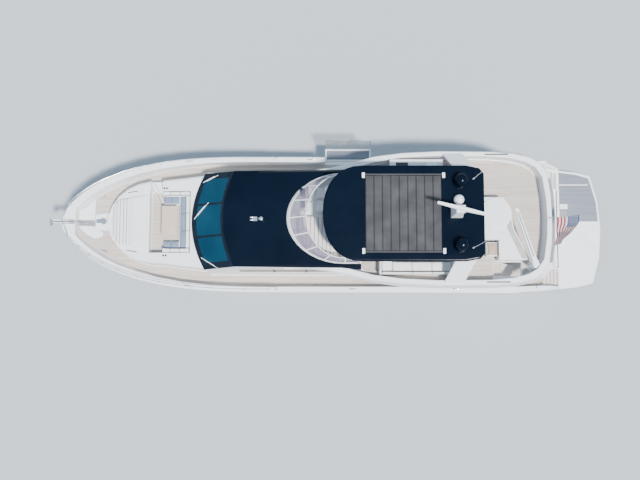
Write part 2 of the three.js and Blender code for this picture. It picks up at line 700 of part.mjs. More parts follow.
// Hardtop and what stands on it
const SUNROOF = { x0: -4335, x1: -1015, half: 1655, ribs: 9 };
function makeHardtop() {
  const port = [];
  for (let i = 0; i <= 8; i++) {
    const a = (i / 8) * (Math.PI / 2);
    port.push([-900 + 1750 * Math.cos(a) ** 0.9, 2110 * Math.sin(a) ** 0.9]);
  }
  port.push([-5400, 2110], [-6000, 1990], [-6200, 1750]);
  const outline = mirrored(port);
  const shrink = (d) => outline.map(([x, y]) => [x + (x > -3000 ? -d : d), y - Math.sign(y) * d]);
  const top = HARDTOP_Z + HARDTOP_THICK;
  const levels = [[HARDTOP_Z, 110], [HARDTOP_Z + 50, 10], [top - 60, 0], [top, 90]];
  let roof = loft(levels.map(([z, d]) => shrink(d).map(([x, y]) => [x, y, z])));
  const l = SUNROOF;
  roof = cut(roof, box(l.x0, l.x1, -l.half, l.half, HARDTOP_Z - 10, top + 10));
  const pitch = (l.x1 - l.x0 - 2 * GAP) / l.ribs;
  let cover = box(l.x0 + GAP, l.x1 - GAP, -l.half + GAP, l.half - GAP, top - 90, top - 50);
  for (let i = 0; i < l.ribs; i++) {
    const x = l.x0 + GAP + pitch * (i + 0.5);
    const along = pitch / 2 - 25;
    cover = join(cover, box(x - along, x + along, -l.half + 40, l.half - 40, top - 60, top - 20));
  }
  fit("sunroof", cover, "grey");
  fit("hardtop", roof, "gloss");

  for (const { side, s } of SIDES) {
    const leg = (x0, x1, z0, z1, y0, y1, w) =>
      loft([
        [[x0, y0, z0], [x0 - w, y0, z0], [x0 - w, y0 - 90 * s, z0], [x0, y0 - 90 * s, z0]],
        [[x1, y1, z1], [x1 - w, y1, z1], [x1 - w, y1 - 90 * s, z1], [x1, y1 - 90 * s, z1]],
      ]);
    const arch = leg(-4600, -5000, FLY_COAMING_Z + GAP, HARDTOP_Z - GAP, s * 2960, s * 1960, 900);
    fit("arch_" + side, arch, "gelcoat");
    const post = cut(
      rod([-800, s * 2044, 4960], [-640, s * 1930, HARDTOP_Z + 60], 30, 12),
      box(-1500, 0, -3000, 3000, 4000, SCREEN.sillZ + GAP),
      box(-1500, 0, -3000, 3000, HARDTOP_Z - GAP, 7000),
    );
    fit("post_" + side, post, "steel");
  }

  const deck = top + GAP;
  const mastX = -4980;
  // Mast levels: half length, half width, height
  const levelsUp = [[260, 220, deck], [150, 130, 7700]];
  const mast = join(
    loft(levelsUp.map(([long, wide, z]) => [
      [mastX + long, wide, z], [mastX - long, wide, z], [mastX - long, -wide, z], [mastX + long, -wide, z],
    ])),
    box(mastX - 190, mastX + 190, -160, 160, 7690, 7890),
    rod([mastX, 0, 7880], [mastX, 0, 7995 - GAP], 55, 16),
  );
  const bar = loft([
    [[-1045, -60, 8010], [-1045, 60, 8010], [-1045, 60, 8090], [-1045, -60, 8090]],
    [[-300, -95, 7995], [-300, 95, 7995], [-300, 75, 8120], [-300, -75, 8120]],
    [[300, -95, 7995], [300, 95, 7995], [300, 75, 8120], [300, -75, 8120]],
    [[1045, -60, 8010], [1045, 60, 8010], [1045, 60, 8090], [1045, -60, 8090]],
  ]);
  const scanner = fit("radar_scanner", bar, "gelcoat");
  scanner.rotation.z = THREE.MathUtils.degToRad(-14.1);
  scanner.position.x = mastX;
  // Profile of a dome in shares of its radius: radius, height
  const DOME = [[0, 0], [0.8, 0], [1, 0.55], [0.98, 1.05], [0.8, 1.55], [0.45, 1.85], [0, 1.95]];
  const dome = (z, r) => DOME.map(([share, up]) => [share * r, z + up * r]);
  for (const { side, s } of SIDES) {
    fit("dome_" + side, turned(-5150, s * 1400, dome(deck, 310), 24), "gloss");
  }
  const smallDome = turned(-5060, -560, dome(deck, 225), 20);
  const base = box(-5180, -4960, -500, -150, deck, deck + 40);
  fit("radar_mast", join(mast, base, smallDome), "gelcoat");
}

function makeStern() {
  const sole = FLY_SOLE_Z + GAP;
  const base = [-8650, 2150];
  const column = join(
    rod([...base, sole], [...base, 5130], 130, 20),
    rod([...base, sole], [...base, sole + 40], 200, 20),
    rod([...base, 5120], [...base, 5215], 60, 16),
  );
  fit("crane_post", column, "gelcoat");
  const tip = [-7820, -370];
  const way = new THREE.Vector3(tip[0] - base[0], tip[1] - base[1], 0);
  const reach = way.length();
  const place = (mesh) => {
    mesh.rotation.z = Math.atan2(way.y, way.x);
    mesh.position.set(...base, 0);
  };
  const pinX = 60;
  const pinZ = 5420;
  let head = cut(
    rod([0, 0, 5135], [0, 0, 5262], 140, 20),
    bore([0, 0, 5100], [0, 0, 5216], 60, 16),
  );
  for (const side of [-1, 1]) {
    head = join(head, box(-90, 150, side > 0 ? 112 : -142, side > 0 ? 142 : -112, 5220, 5490));
  }
  head = join(head, rod([pinX, -130, pinZ], [pinX, 130, pinZ], 35, 16));
  place(fit("crane_head", head, "gelcoat"));
  let boom = loft([
    [[-60, -105, 5330], [-60, 105, 5330], [-60, 105, 5510], [-60, -105, 5510]],
    [[300, -105, 5300], [300, 105, 5300], [300, 105, 5530], [300, -105, 5530]],
    [[reach, -75, 5420], [reach, 75, 5420], [reach, 75, 5530], [reach, -75, 5530]],
  ]);
  boom = cut(boom, bore([pinX, -150, pinZ], [pinX, 150, pinZ], 35, 16));
  place(fit("crane_boom", boom, "gelcoat"));

  // Transom block between the side steps, with the door in its sloping face
  const profile = [[-9602, 450 + GAP], [-10750, 450 + GAP], [-10720, 750], [-10050, 2750], [-9602, 2750]];
  const foot = new THREE.Vector2(-10720, 750);
  const up = new THREE.Vector2(-10050, 2750).sub(foot).normalize();
  const out = new THREE.Vector2(-up.y, up.x);
  const onFace = (u, n) => [foot.x + up.x * u + out.x * n, foot.y + up.y * u + out.y * n];
  const door = { low: 120, high: 1950, half: 1500, thick: 50, pin: 22 };
  let block = sideprism(profile, -1950, 1950);
  const back = -door.thick - GAP;
  const [low, high] = [door.low - 5, door.high + 30];
  const pocket = [onFace(low, back), onFace(high, back), onFace(high, 100), onFace(low, 100)];
  block = cut(block, sideprism(pocket, -door.half - 5, door.half + 5));
  const [hx, hz] = onFace(door.high, -door.pin);
  block = cut(block, bore([hx, -door.half - 60, hz], [hx, door.half + 60, hz], 14));
  const leaf = [[door.low, -door.thick], [door.high, -door.thick], [door.high, 0], [door.low, 0]].map(
    ([u, n]) => onFace(u, n),
  );
  const panel = join(
    sideprism(leaf, -door.half, door.half),
    rod([hx, -door.half - 58, hz], [hx, door.half + 58, hz], 14),
    rod([hx, -door.half, hz], [hx, door.half, hz], door.pin),
  );
  fit("transom_door", panel, "gelcoat");

  for (const { s } of SIDES) {
    const inner = 1940;
    const outer = 2895;
    for (let i = 0; i < 5; i++) {
      const x0 = HULL_AFT_X + 5 + 245 * i;
      const topZ = 450 + 275 * (i + 1);
      const ys = [s * inner, s * outer].sort((a, b) => a - b);
      block = join(block, box(x0, WELL_AFT_X - 2, ...ys, 450 + GAP, topZ));
    }
  }
  fit("transom_block", block, "gelcoat");
}

function makePlatform() {
  const z0 = PLATFORM_TOP_Z - 140;
  const outline = mirrored([
    [-13070, 0], [-12960, 1400], [-12780, 2080], [-12600, 2700], [-11900, 2880], [-10935, 3000],
  ]);
  let slab = loft([
    [z0, 60],
    [z0 + 50, 0],
    [PLATFORM_TOP_Z - 20, 0],
    [PLATFORM_TOP_Z, 15],
  ].map(([z, d]) => outline.map(([x, y]) => [x < -12000 ? x + d : x, y - Math.sign(y) * d, z])));
  const px = LIFT.aftX;
  const lowZ = LIFT.lowerZ + LIFT.dz - 60;
  // Drop brackets from the foot up: fore and aft reach from the pins, height
  const web = [[60, lowZ], [60, lowZ + 260], [160, z0 + 30]];
  const outlineOf = (rows) => [
    ...rows.map(([reach, z]) => [px + reach, z]),
    ...rows.map(([reach, z]) => [px - reach, z]).reverse(),
  ];
  for (const y of LIFT.arms) {
    for (const [y0, y1] of lugs(y)) {
      slab = join(slab, sideprism(outlineOf(web), y0, y1));
    }
    for (const z of [LIFT.upperZ, LIFT.lowerZ]) {
      slab = join(slab, rod([px, y - 65, z + LIFT.dz], [px, y + 65, z + LIFT.dz], LIFT.pin));
    }
  }
  fit("swim_platform", slab, "gelcoat");
  const pairs = [
    { name: "lift_arms_upper", z: LIFT.upperZ, barAt: 0.35 },
    { name: "lift_arms_lower", z: LIFT.lowerZ, barAt: 0.6 },
  ];
  const half = LIFT.thick / 2;
  const nx = LIFT.deep * Math.sin(THREE.MathUtils.degToRad(LIFT.rise));
  const nz = LIFT.deep * Math.cos(THREE.MathUtils.degToRad(LIFT.rise));
  for (const { name, z, barAt } of pairs) {
    const barX = LIFT.hullX - LIFT.dx * barAt;
    const barZ = z + LIFT.dz * barAt;
    let arms = rod([barX, LIFT.arms[0], barZ], [barX, LIFT.arms[1], barZ], LIFT.bar);
    const [a, b] = [[LIFT.hullX, z], [px, z + LIFT.dz]];
    const side = [[a, 1], [b, 1], [b, -1], [a, -1]].map(([p, way]) => [p[0] + way * nx, p[1] + way * nz]);
    for (const y of LIFT.arms) {
      arms = join(arms, sideprism(side, y - half, y + half));
      for (const [x, zz] of [a, b]) {
        const boss = rod([x, y - half, zz], [x, y + half, zz], LIFT.boss, 16);
        arms = cut(join(arms, boss), bore([x, y - 100, zz], [x, y + 100, zz], LIFT.pin));
      }
    }
    fit(name, arms, "steel");
  }
}

function makeBalcony() {
  const b = BALCONY;
  const { x0, x1, hingeY: y, hingeZ: z, half } = b;
  let panel = join(
    box(x0, x1, y - b.reach, y, z - half, z + half),
    rod([x0, y, z], [x1, y, z], half, 16),
    rod([x0 - 60, y, z], [x1 + 60, y, z], b.pin),
  );
  const railY = y - b.reach + 30;
  const railZ = z + half + 35;
  for (const x of [x0 + 160, x1 - 200]) {
    panel = join(panel, box(x, x + 40, railY - 25, railY + 25, z + half - 10, railZ + 25));
  }
  panel = cut(panel, bore([x0, railY, railZ], [x1, railY, railZ], 16));
  fit("balcony", panel, "gelcoat");

  const lean = 0.26;
  const height = 960;
  const at = (x, h) => [x, railY - lean * h, railZ + h];
  let rail = rod(at(x0 + 30, 0), at(x1 - 30, 0), 16);
  const middle = (x0 + x1) / 2;
  const paneHalf = 5;
  for (const [a, c] of [[x0 + 40, middle - 40], [middle + 40, x1 - 40]]) {
    const corners = [at(a, 0), at(a, height), at(c, height), at(c, 0)];
    for (let i = 0; i < 3; i++) {
      rail = join(rail, rod(corners[i], corners[i + 1], 16));
    }
    const pane = loft([a, c].map((x) => {
      const [low, high] = [at(x, 90), at(x, height - 10)];
      return [[low, -1], [high, -1], [high, 1], [low, 1]].map(([p, way]) => [p[0], p[1] + way * paneHalf, p[2]]);
    }));
    rail = join(rail, pane);
  }
  fit("balcony_rail", rail, "steel");
}

function makeRunningGear() {
  const { x0, z0, x1, z1, y } = SHAFT;
  const along = (d) => [x1 - SHAFT_WAY.x * d, y, z1 - SHAFT_WAY.z * d];
  let prop = join(
    rod([x0, y, z0], [x1, y, z1], SHAFT.radius),
    rod(along(90), along(-110), 85, 20),
    rod(along(-110), along(-200), 85, 20, 25),
  );
  // Blade sections: radius, chord, pitch angle, sweep
  const rows = [
    [60, 110, 52, 0], [120, 190, 48, 6], [180, 250, 42, 14], [240, 290, 37, 24], [300, 305, 32, 40],
    [380, 265, 27, 70], [440, 185, 24, 95], [475, 100, 22, 115],
  ];
  const [crest, edge] = [12, 4];
  const across = [[-0.5, edge], [0, crest], [0.5, edge], [0.5, -edge], [0, -crest], [-0.5, -edge]];
  const blade = loft(rows.map(([r, chord, pitch, sweep]) => {
    const a = THREE.MathUtils.degToRad(pitch);
    return across.map(([c, thick]) => [
      Math.sin(a) * c * chord + Math.cos(a) * thick,
      Math.cos(a) * c * chord - Math.sin(a) * thick + sweep,
      r,
    ]);
  }));
  const tilt = new THREE.Quaternion().setFromUnitVectors(new THREE.Vector3(-1, 0, 0), SHAFT_WAY);
  for (let i = 0; i < 5; i++) {
    const place = new THREE.Matrix4().makeRotationFromQuaternion(tilt).setPosition(x1, y, z1);
    place.multiply(new THREE.Matrix4().makeRotationX((i * 2 * Math.PI) / 5));
    prop = join(prop, moved(blade, place));
  }

  const r = RUDDER;
  // Rudder levels: height, reach ahead of the stock and behind it, half thickness
  const finLevels = [[r.bladeTop, 230, 380, 32], [r.bladeLow, 150, 280, 18]];
  const fin = loft(finLevels.map(([z, ahead, behind, thick]) => [
    [r.x + ahead, r.y, z], [r.x, r.y + thick, z], [r.x - behind, r.y, z], [r.x, r.y - thick, z],
  ]));
  const rudder = join(fin, rod([r.x, r.y, r.bladeTop - 300], [r.x, r.y, r.top - 4], r.stock));
  for (const [name, solid] of [["propeller", prop], ["rudder", rudder]]) {
    fit(name + "_port", solid, "bronze");
    fit(name + "_starboard", moved(solid, ACROSS), "bronze");
  }
}

// Ground tackle and guard rail on the bow
function makeBow() {
  const stemZ = 3676;
  const shank = box(12560, 13480, -20, 20, stemZ + GAP, stemZ + 60);
  const crown = rod([13480, -60, stemZ + 20], [13480, 60, stemZ + 20], 45, 12);
  // Fluke sections from the crown down: fore edge, aft edge, half width, height
  const rows = [[13560, 13470, 60, 30], [13640, 13560, 190, -190], [13520, 13500, 20, -460]];
  const fluke = loft(rows.map(([x0, x1, half, dz]) => {
    const z = stemZ + dz;
    return [[x1, -half, z], [x1, half, z], [x0, half, z], [x0, -half, z]];
  }));
  fit("anchor", join(shank, crown, fluke), "steel");

  const wx = 11220;
  const wz = onFacets(DECK_STATIONS, deckZ, wx);
  const turns = [[0, -60], [150, -60], [150, 60], [85, 100], [75, 190], [110, 250], [110, 290], [0, 300]];
  const drum = turned(wx, -100, turns.map(([r, z]) => [r, wz + z]));
  const gear = box(wx + 60, wx + 330, -190, -10, wz - 60, wz + 150);
  fit("windlass", cut(join(drum, gear), underDeck(TEAK + GAP)), "steel");

  const inY = (x) => onFacets(HULL_STATIONS, sheerY, x) - 120;
  const capZ = (x) => onFacets(HULL_STATIONS, sheerZ, x) + GAP;
  const railX = [12600, 12200, 11700, 11100, 10400, 9500, 8500, 7300, 6000, 4500, 3200];
  const path = railX.map((x) => [x, inY(x), capZ(x) + 450]);
  const bowLoop = [[12850, 150], [12900, 0], [12850, -150]].map(([x, y]) => [x, y, capZ(x) + 450]);
  const footX = 2950;
  const aftFoot = [[footX, inY(footX), capZ(footX)], [footX + 30, inY(footX), capZ(footX) + 380]];
  const port = [...aftFoot, ...path.slice().reverse()];
  const starboard = port.map(([x, y, z]) => [x, -y, z]).reverse();
  let rail = tube([...port, ...bowLoop, ...starboard], 17, 6, 2);
  for (const x of railX) {
    for (const { s } of SIDES) {
      rail = join(rail, rod([x, s * inY(x), capZ(x) - 20], [x, s * inY(x), capZ(x) + 450], 13, 8));
    }
  }
  fit("guard_rail", cut(rail, BARE_HULL.translate([0, 0, GAP])), "steel");
}

// Cockpit furniture, the stairs to the fly deck, the flag staff and its ensign
function makeCockpit() {
  const sole = SIDE_DECK_Z + 12 + GAP;
  const sofa = cut(box(-9600, -8780, -1800, 1800, sole, 2860), box(-9400, -8700, -1650, 1650, 2540, 2900));
  fit("cockpit_sofa", sofa, "vinyl");
  const leg = (y) => rod([-8100, y, sole], [-8100, y, 2840], 50, 14);
  const top = box(-8520, -7680, -900, 700, 2830, 2865);
  const feet = (y) => rod([-8100, y, sole], [-8100, y, sole + 25], 150, 14);
  fit("cockpit_table", join(top, leg(-600), leg(400), feet(-600), feet(400)), "teak");

  const { y0, y1, steps, rise, going, footX, deep, topDeep } = STAIRS;
  const outline = [];
  for (let i = 0; i < steps; i++) {
    const x = footX + i * going;
    outline.push([x, sole + rise * i], [x, sole + rise * (i + 1)]);
  }
  const topX = STAIRS.holeFore - GAP;
  const topZ = sole + rise * steps;
  const bendX = footX + deep + ((topZ - topDeep - sole) * going) / rise;
  outline.push([topX, topZ], [topX, topZ - topDeep], [bendX, topZ - topDeep], [footX + deep, sole]);
  fit("fly_stairs", sideprism(outline, y0, y1), "gelcoat");

  const staffY = 25;
  const foot = [-9400, FLY_COAMING_Z + 40];
  const tip = [-10450, 6200];
  const seat = rod([foot[0], staffY, FLY_COAMING_Z + GAP], [foot[0], staffY, FLY_COAMING_Z + 70], 35, 12);
  const staff = rod([foot[0], staffY, foot[1]], [tip[0], staffY, tip[1]], 14, 10);
  fit("flag_staff", join(seat, staff), "steel");
  const at = (share) => [mix(foot[0], tip[0], share), mix(foot[1], tip[1], share)];
  const [[x0, z0], [x1, z1]] = [at(0.25), at(0.97)];
  const hoist = Math.hypot(x1 - x0, z1 - z0);
  const rings = [];
  for (let i = 0; i <= 10; i++) {
    const away = i / 10; // share of the way from the staff to the fly end
    const hang = THREE.MathUtils.smoothstep(away, 0.2, 1); // the cloth turns from the staff's slope to plumb
    const wave = -45 * away * (1 + Math.sin(i * 1.2));
    const ring = [0, 0.5, 1].map((up) => [
      x0 + (x1 - x0) * up * (1 - 0.95 * hang) + wave,
      staffY + 14 + GAP + 1200 * away,
      z0 - 640 * away ** 1.2 + up * mix(z1 - z0, hoist, hang),
    ]);
    rings.push([...ring, ...ring.slice().reverse().map(([x, y, z]) => [x - 8, y, z - 3])]);
  }
  fit("ensign", loft(rings), "cloth");
}

makeHull();
makeHouse();
makeForedeck();
makeFly();
makeFlyFront();
makeFlyFurniture();
makeHardtop();
makeStern();
makePlatform();
makeBalcony();
makeRunningGear();
makeBow();
makeCockpit();

export default yacht;
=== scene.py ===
import json
import math
import bmesh
import bpy
import numpy as np
from mathutils import Matrix, Vector


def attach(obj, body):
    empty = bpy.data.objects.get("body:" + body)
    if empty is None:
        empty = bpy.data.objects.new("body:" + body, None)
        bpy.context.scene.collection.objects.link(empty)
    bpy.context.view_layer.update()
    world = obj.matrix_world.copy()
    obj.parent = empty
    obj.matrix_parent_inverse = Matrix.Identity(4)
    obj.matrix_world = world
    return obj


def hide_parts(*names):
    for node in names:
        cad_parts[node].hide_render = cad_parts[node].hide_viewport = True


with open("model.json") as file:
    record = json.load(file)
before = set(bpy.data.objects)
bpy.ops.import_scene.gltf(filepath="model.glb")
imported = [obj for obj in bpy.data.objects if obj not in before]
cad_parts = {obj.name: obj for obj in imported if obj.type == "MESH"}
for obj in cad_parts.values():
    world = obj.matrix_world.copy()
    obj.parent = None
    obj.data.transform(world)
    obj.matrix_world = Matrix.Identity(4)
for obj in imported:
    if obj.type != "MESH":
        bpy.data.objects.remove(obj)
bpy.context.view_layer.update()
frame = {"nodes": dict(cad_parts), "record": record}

# Camera. The yacht is seen from 46 m above the water, from a point a little ahead of amidships and to port,
# with the bow to the left of the picture and the port side at its foot. The point straight below the camera
# lies 98 pixels under the middle of the picture, at a focal length of 915 pixels.
camera_place, lens_mm, nadir_drop, focal_pixels = (0.96, 5.40, 46.0), 51.47, 98, 915
tilt = math.atan(nadir_drop / focal_pixels)
across = (-1, 0, 0)
upward = (0, -math.cos(tilt), math.sin(tilt))
backward = (0, math.sin(tilt), math.cos(tilt))
camera = bpy.data.objects.new("camera", bpy.data.cameras.new("camera"))
camera.data.sensor_width, camera.data.lens, camera.data.clip_end = 36.0, lens_mm, 300.0
facing = zip(across, upward, backward)
camera.matrix_world = Matrix([(*row, at) for row, at in zip(facing, camera_place)] + [(0, 0, 0, 1)])
bpy.context.scene.collection.objects.link(camera)
bpy.context.scene.camera = camera


# Studio. A pale matt floor lies at the waterline, under an even pale sky and one soft lamp high on the port
# quarter, so that the starboard side deck lies in the shade of the deckhouse.
def put(name, points, faces, smooth=True):
    """Mesh object from an array of points and an array or list of faces, shaded smooth or flat."""
    mesh = bpy.data.meshes.new(name)
    faces = [list(map(int, face)) for face in faces]
    mesh.from_pydata(np.asarray(points, float).reshape(-1, 3).tolist(), [], faces)
    mesh.polygons.foreach_set("use_smooth", [smooth] * len(mesh.polygons))
    made = bpy.data.objects.new(name, mesh)
    bpy.context.scene.collection.objects.link(made)
    return made


reach = 70
corners = [(-reach, -reach, 0), (reach, -reach, 0), (reach, reach, 0), (-reach, reach, 0)]
floor = put("floor", corners, [(0, 1, 2, 3)], False)
matt = bpy.data.materials.new("studio_floor")
matt.use_nodes = True
matt.node_tree.nodes["Principled BSDF"].inputs["Base Color"].default_value = (0.40, 0.43, 0.46, 1)
matt.node_tree.nodes["Principled BSDF"].inputs["Roughness"].default_value = 0.9
floor.data.materials.append(matt)
sky = bpy.data.worlds.new("pale_sky")
sky.use_nodes = True
sky.node_tree.nodes["Background"].inputs["Color"].default_value = (0.60, 0.79, 1.0, 1)
sky.node_tree.nodes["Background"].inputs["Strength"].default_value = 1.05
bpy.context.scene.world = sky
lamp = bpy.data.objects.new("lamp", bpy.data.lights.new("lamp", "SUN"))
lamp.data.energy, lamp.data.angle, lamp.data.color = 7.6, math.radians(5), (1.0, 0.97, 0.93)
lamp.rotation_mode = "QUATERNION"
lamp.rotation_quaternion = Vector((0.22, -0.30, -0.93)).to_track_quat("-Z", "Y")
bpy.context.scene.collection.objects.link(lamp)


# Mouldings. Hull, deckhouse, fly deck and their like are white gelcoat over laminate, laid up in polished
# moulds: each keeps the solid's own shape, with its edges eased and its long faces shaded as one surface.
def node_group(name, inputs, outputs):
    """Empty shader node group, with inputs given as (name, kind, value), and its input and output nodes."""
    tree = bpy.data.node_groups.new(name, "ShaderNodeTree")
    for label, kind, value in inputs:
        socket = tree.interface.new_socket(label, in_out="INPUT", socket_type="NodeSocket" + kind)
        if value is not None:
            socket.default_value = value
    for label in outputs:
        tree.interface.new_socket(label, in_out="OUTPUT", socket_type="NodeSocketFloat")
    return tree, tree.nodes.new("NodeGroupInput"), tree.nodes.new("NodeGroupOutput")


def add_node(tree, kind, values=(), **settings):
    """Node with settings, and with socket values or sources given by (socket, value or output)."""
    made = tree.nodes.new(kind)
    for key, value in settings.items():
        setattr(made, key, value)
    for socket, value in values:
        if isinstance(value, bpy.types.NodeSocket):
            tree.links.new(value, made.inputs[socket])
        else:
            made.inputs[socket].default_value = value
    return made


def blend(tree, share, first, second):
    """Colour that goes from the first to the second with the share."""
    values = [(0, share), (6, first), (7, second)]
    return add_node(tree, "ShaderNodeMix", values, data_type="RGBA").outputs[2]


# Weather: a slow cloudy mask for colour and gloss, and a fine grain for relief, both from noise
inputs = [("Place", "Vector", None), ("Size", "Float", 0.6), ("Grain", "Float", 60.0)]
weather, given, result = node_group("weather", inputs, ["Cloud", "Fine"])
place, size, grain = (given.outputs[label] for label in ("Place", "Size", "Grain"))
slow = add_node(weather, "ShaderNodeTexNoise", [("Vector", place), ("Scale", size), ("Detail", 4.0)])
fine = add_node(weather, "ShaderNodeTexNoise", [("Vector", place), ("Scale", grain), ("Detail", 2.0)])
wide = [("Value", slow.outputs[0]), ("From Min", 0.3), ("From Max", 0.7)]
weather.links.new(add_node(weather, "ShaderNodeMapRange", wide).outputs[0], result.inputs["Cloud"])
weather.links.new(fine.outputs[0], result.inputs["Fine"])


def finish(name, clean, worn, rough, metal=0.0, coat=0.0, shine=0.5, size=0.6, grain=60.0, relief=0.05):
    """Finish that drifts from a clean to a worn colour, its gloss following, with a fine grain as relief."""
    made = bpy.data.materials.new(name)
    made.use_nodes = True
    tree = made.node_tree
    body = tree.nodes["Principled BSDF"]
    for socket, value in [("Metallic", metal), ("Coat Weight", coat), ("Specular IOR Level", shine)]:
        body.inputs[socket].default_value = value
    drift = add_node(tree, "ShaderNodeGroup", node_tree=weather)
    tree.links.new(add_node(tree, "ShaderNodeTexCoord").outputs["Object"], drift.inputs["Place"])
    drift.inputs["Size"].default_value, drift.inputs["Grain"].default_value = size, grain
    cloud, fine = drift.outputs["Cloud"], drift.outputs["Fine"]
    duller = [("Value", cloud), ("To Min", rough * 0.85), ("To Max", rough * 1.25)]
    bump = add_node(tree, "ShaderNodeBump", [("Strength", relief), ("Distance", 0.004), ("Height", fine)])
    tree.links.new(blend(tree, cloud, (*clean, 1), (*worn, 1)), body.inputs["Base Color"])
    tree.links.new(add_node(tree, "ShaderNodeMapRange", duller).outputs[0], body.inputs["Roughness"])
    tree.links.new(bump.outputs[0], body.inputs["Normal"])
    return made


home = {node: body for body, nodes in frame["record"]["behaviour"]["bodies"].items() for node in nodes}


def fitted(made, material, body="hull", replaces=None):
    """Finished piece: its material, the body it rides on and the solid it stands for."""
    made.data.materials.append(material)
    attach(made, body)
    if replaces:
        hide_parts(replaces)
    return made


def eased(made, width, fold=30):
    """Rounds the edges of a piece where it folds by more than an angle in degrees."""
    bevel = made.modifiers.new("eased_edges", "BEVEL")
    bevel.width, bevel.segments, bevel.limit_method = width, 2, "ANGLE"
    bevel.angle_limit = math.radians(fold)


def skin(node, material, edge, crease=28):
    """Copy of a solid's mesh: welded, flat faces merged, edges eased, and gentle folds shaded smooth."""
    mesh = frame["nodes"][node].data.copy()
    mesh.materials.clear()
    work = bmesh.new()
    work.from_mesh(mesh)
    bmesh.ops.remove_doubles(work, verts=work.verts, dist=2e-5)
    bmesh.ops.dissolve_limit(work, angle_limit=math.radians(0.4), verts=work.verts, edges=work.edges)
    work.to_mesh(mesh)
    work.free()
    mesh.polygons.foreach_set("use_smooth", [True] * len(mesh.polygons))
    mesh.set_sharp_from_angle(angle=math.radians(crease))
    made = bpy.data.objects.new(node + "_shell", mesh)
    bpy.context.scene.collection.objects.link(made)
    if edge:
        eased(made, edge, crease + 4)
    made.modifiers.new("even_shading", "WEIGHTED_NORMAL").keep_sharp = True
    return fitted(made, material, home[node], node)


fresh_white, aged_white = (0.86, 0.87, 0.88), (0.80, 0.81, 0.83)
gelcoat = finish("gelcoat", fresh_white, aged_white, 0.22, coat=0.3, size=0.25, grain=30, relief=0.01)
for node, edge in [
    ("deckhouse", 0.0), ("fore_trunk", 0.014), ("fly_deck", 0.014), ("fly_coaming", 0.014),
    ("fly_console", 0.006), ("fly_bar", 0.02), ("fly_galley", 0.02), ("arch_port", 0.02),
    ("arch_starboard", 0.02), ("radar_mast", 0.008), ("crane_post", 0.006), ("crane_head", 0.004),
    ("crane_boom", 0.012), ("transom_door", 0.006), ("transom_block", 0.012), ("swim_platform", 0.012),
    ("balcony", 0.008), ("fly_stairs", 0.006), ("radar_scanner", 0.02),
]:
    skin(node, gelcoat, edge)


# Hull. One white laminate moulding with a navy boot stripe above the waterline and dark antifouling below it.
# Long dark windows are bonded into its sides, and a rubbing strake capped with steel runs along under the
# deck, broken to starboard where the balcony folds up.
def maths(tree, operation, *terms):
    """Output of a maths node on terms that are numbers or other nodes' outputs."""
    return add_node(tree, "ShaderNodeMath", enumerate(terms), operation=operation).outputs[0]


def object_place(tree):
    """Outputs of a point's three Object coordinates."""
    point = add_node(tree, "ShaderNodeTexCoord").outputs["Object"]
    return add_node(tree, "ShaderNodeSeparateXYZ", [(0, point)]).outputs


def overlaid(material):
    """Node tree of a finish, its Base Color socket and the output that feeds it, to lay a pattern over."""
    tree = material.node_tree
    colour = tree.nodes["Principled BSDF"].inputs["Base Color"]
    return tree, colour, colour.links[0].from_socket


topsides = finish("topsides", fresh_white, aged_white, 0.2, coat=0.4, size=0.2, grain=20, relief=0.01)
tree, colour, plain = overlaid(topsides)
height = object_place(tree)[2]
boot, boot_top = (0.02, 0.035, 0.08, 1), 0.17
fouling, fouling_top = (0.035, 0.045, 0.06, 1), 0.05
striped = blend(tree, maths(tree, "LESS_THAN", height, boot_top), plain, boot)
tree.links.new(blend(tree, maths(tree, "LESS_THAN", height, fouling_top), striped, fouling), colour)
skin("hull", topsides, 0.012, 32)
half_beam, cap_z, stem_x = 3.25, 2.72, 13.05


def sheer_y(x):
    """Half breadth of the bulwark cap: full amidships, closing to the stem as a power of the distance."""
    bow = half_beam * np.clip(1 - (np.maximum(x - 3, 0) / (stem_x - 3)) ** 3, 0, 1) ** 0.62
    return np.maximum(0.06, np.where(x < -8, half_beam - 0.03 * (x + 8) ** 2, bow))


def sheer_z(x):
    """Height of the bulwark cap: level amidships, rising towards the stem and falling at the stern."""
    rise = cap_z + 0.95 * (np.maximum(x, 0) / stem_x) ** 1.8
    return np.where(x < -8.5, cap_z - 0.28 * (x + 8.5) ** 2, rise)


def hull_y(x, z):
    """Half breadth of the topsides: straight from chine to cap, hollowed towards the bow by the flare."""
    t = np.clip((x - 1.5) / 10.5, 0, 1)
    chine_y = np.maximum(0.03, 2.9 * (1 - t ** 2.6) ** 0.8) + 0.055
    chine_z = -0.12 + 1.9 * (np.maximum(0, x) / 12) ** 2.4
    share = np.clip((z - chine_z) / (sheer_z(x) - 0.06 - chine_z), 0, 1)
    hollow = 0.17 * np.clip((x - 3) / 7, 0, 1) * np.interp(share, [0, 0.35, 0.7, 1], [0, 0.8, 0.7, 0])
    return chine_y + (sheer_y(x) - chine_y) * share - hollow


def grid_faces(rows, columns, closed=False):
    """Four-sided faces of a grid of points, numbered row by row, with each row a closed ring if asked."""
    index = np.arange(rows * columns).reshape(rows, columns)
    after = np.roll(index, -1, 1)
    if not closed:
        index, after = index[:, :-1], after[:, :-1]
    return np.stack([index[:-1], index[1:], after[1:], after[:-1]], -1).reshape(-1, 4)


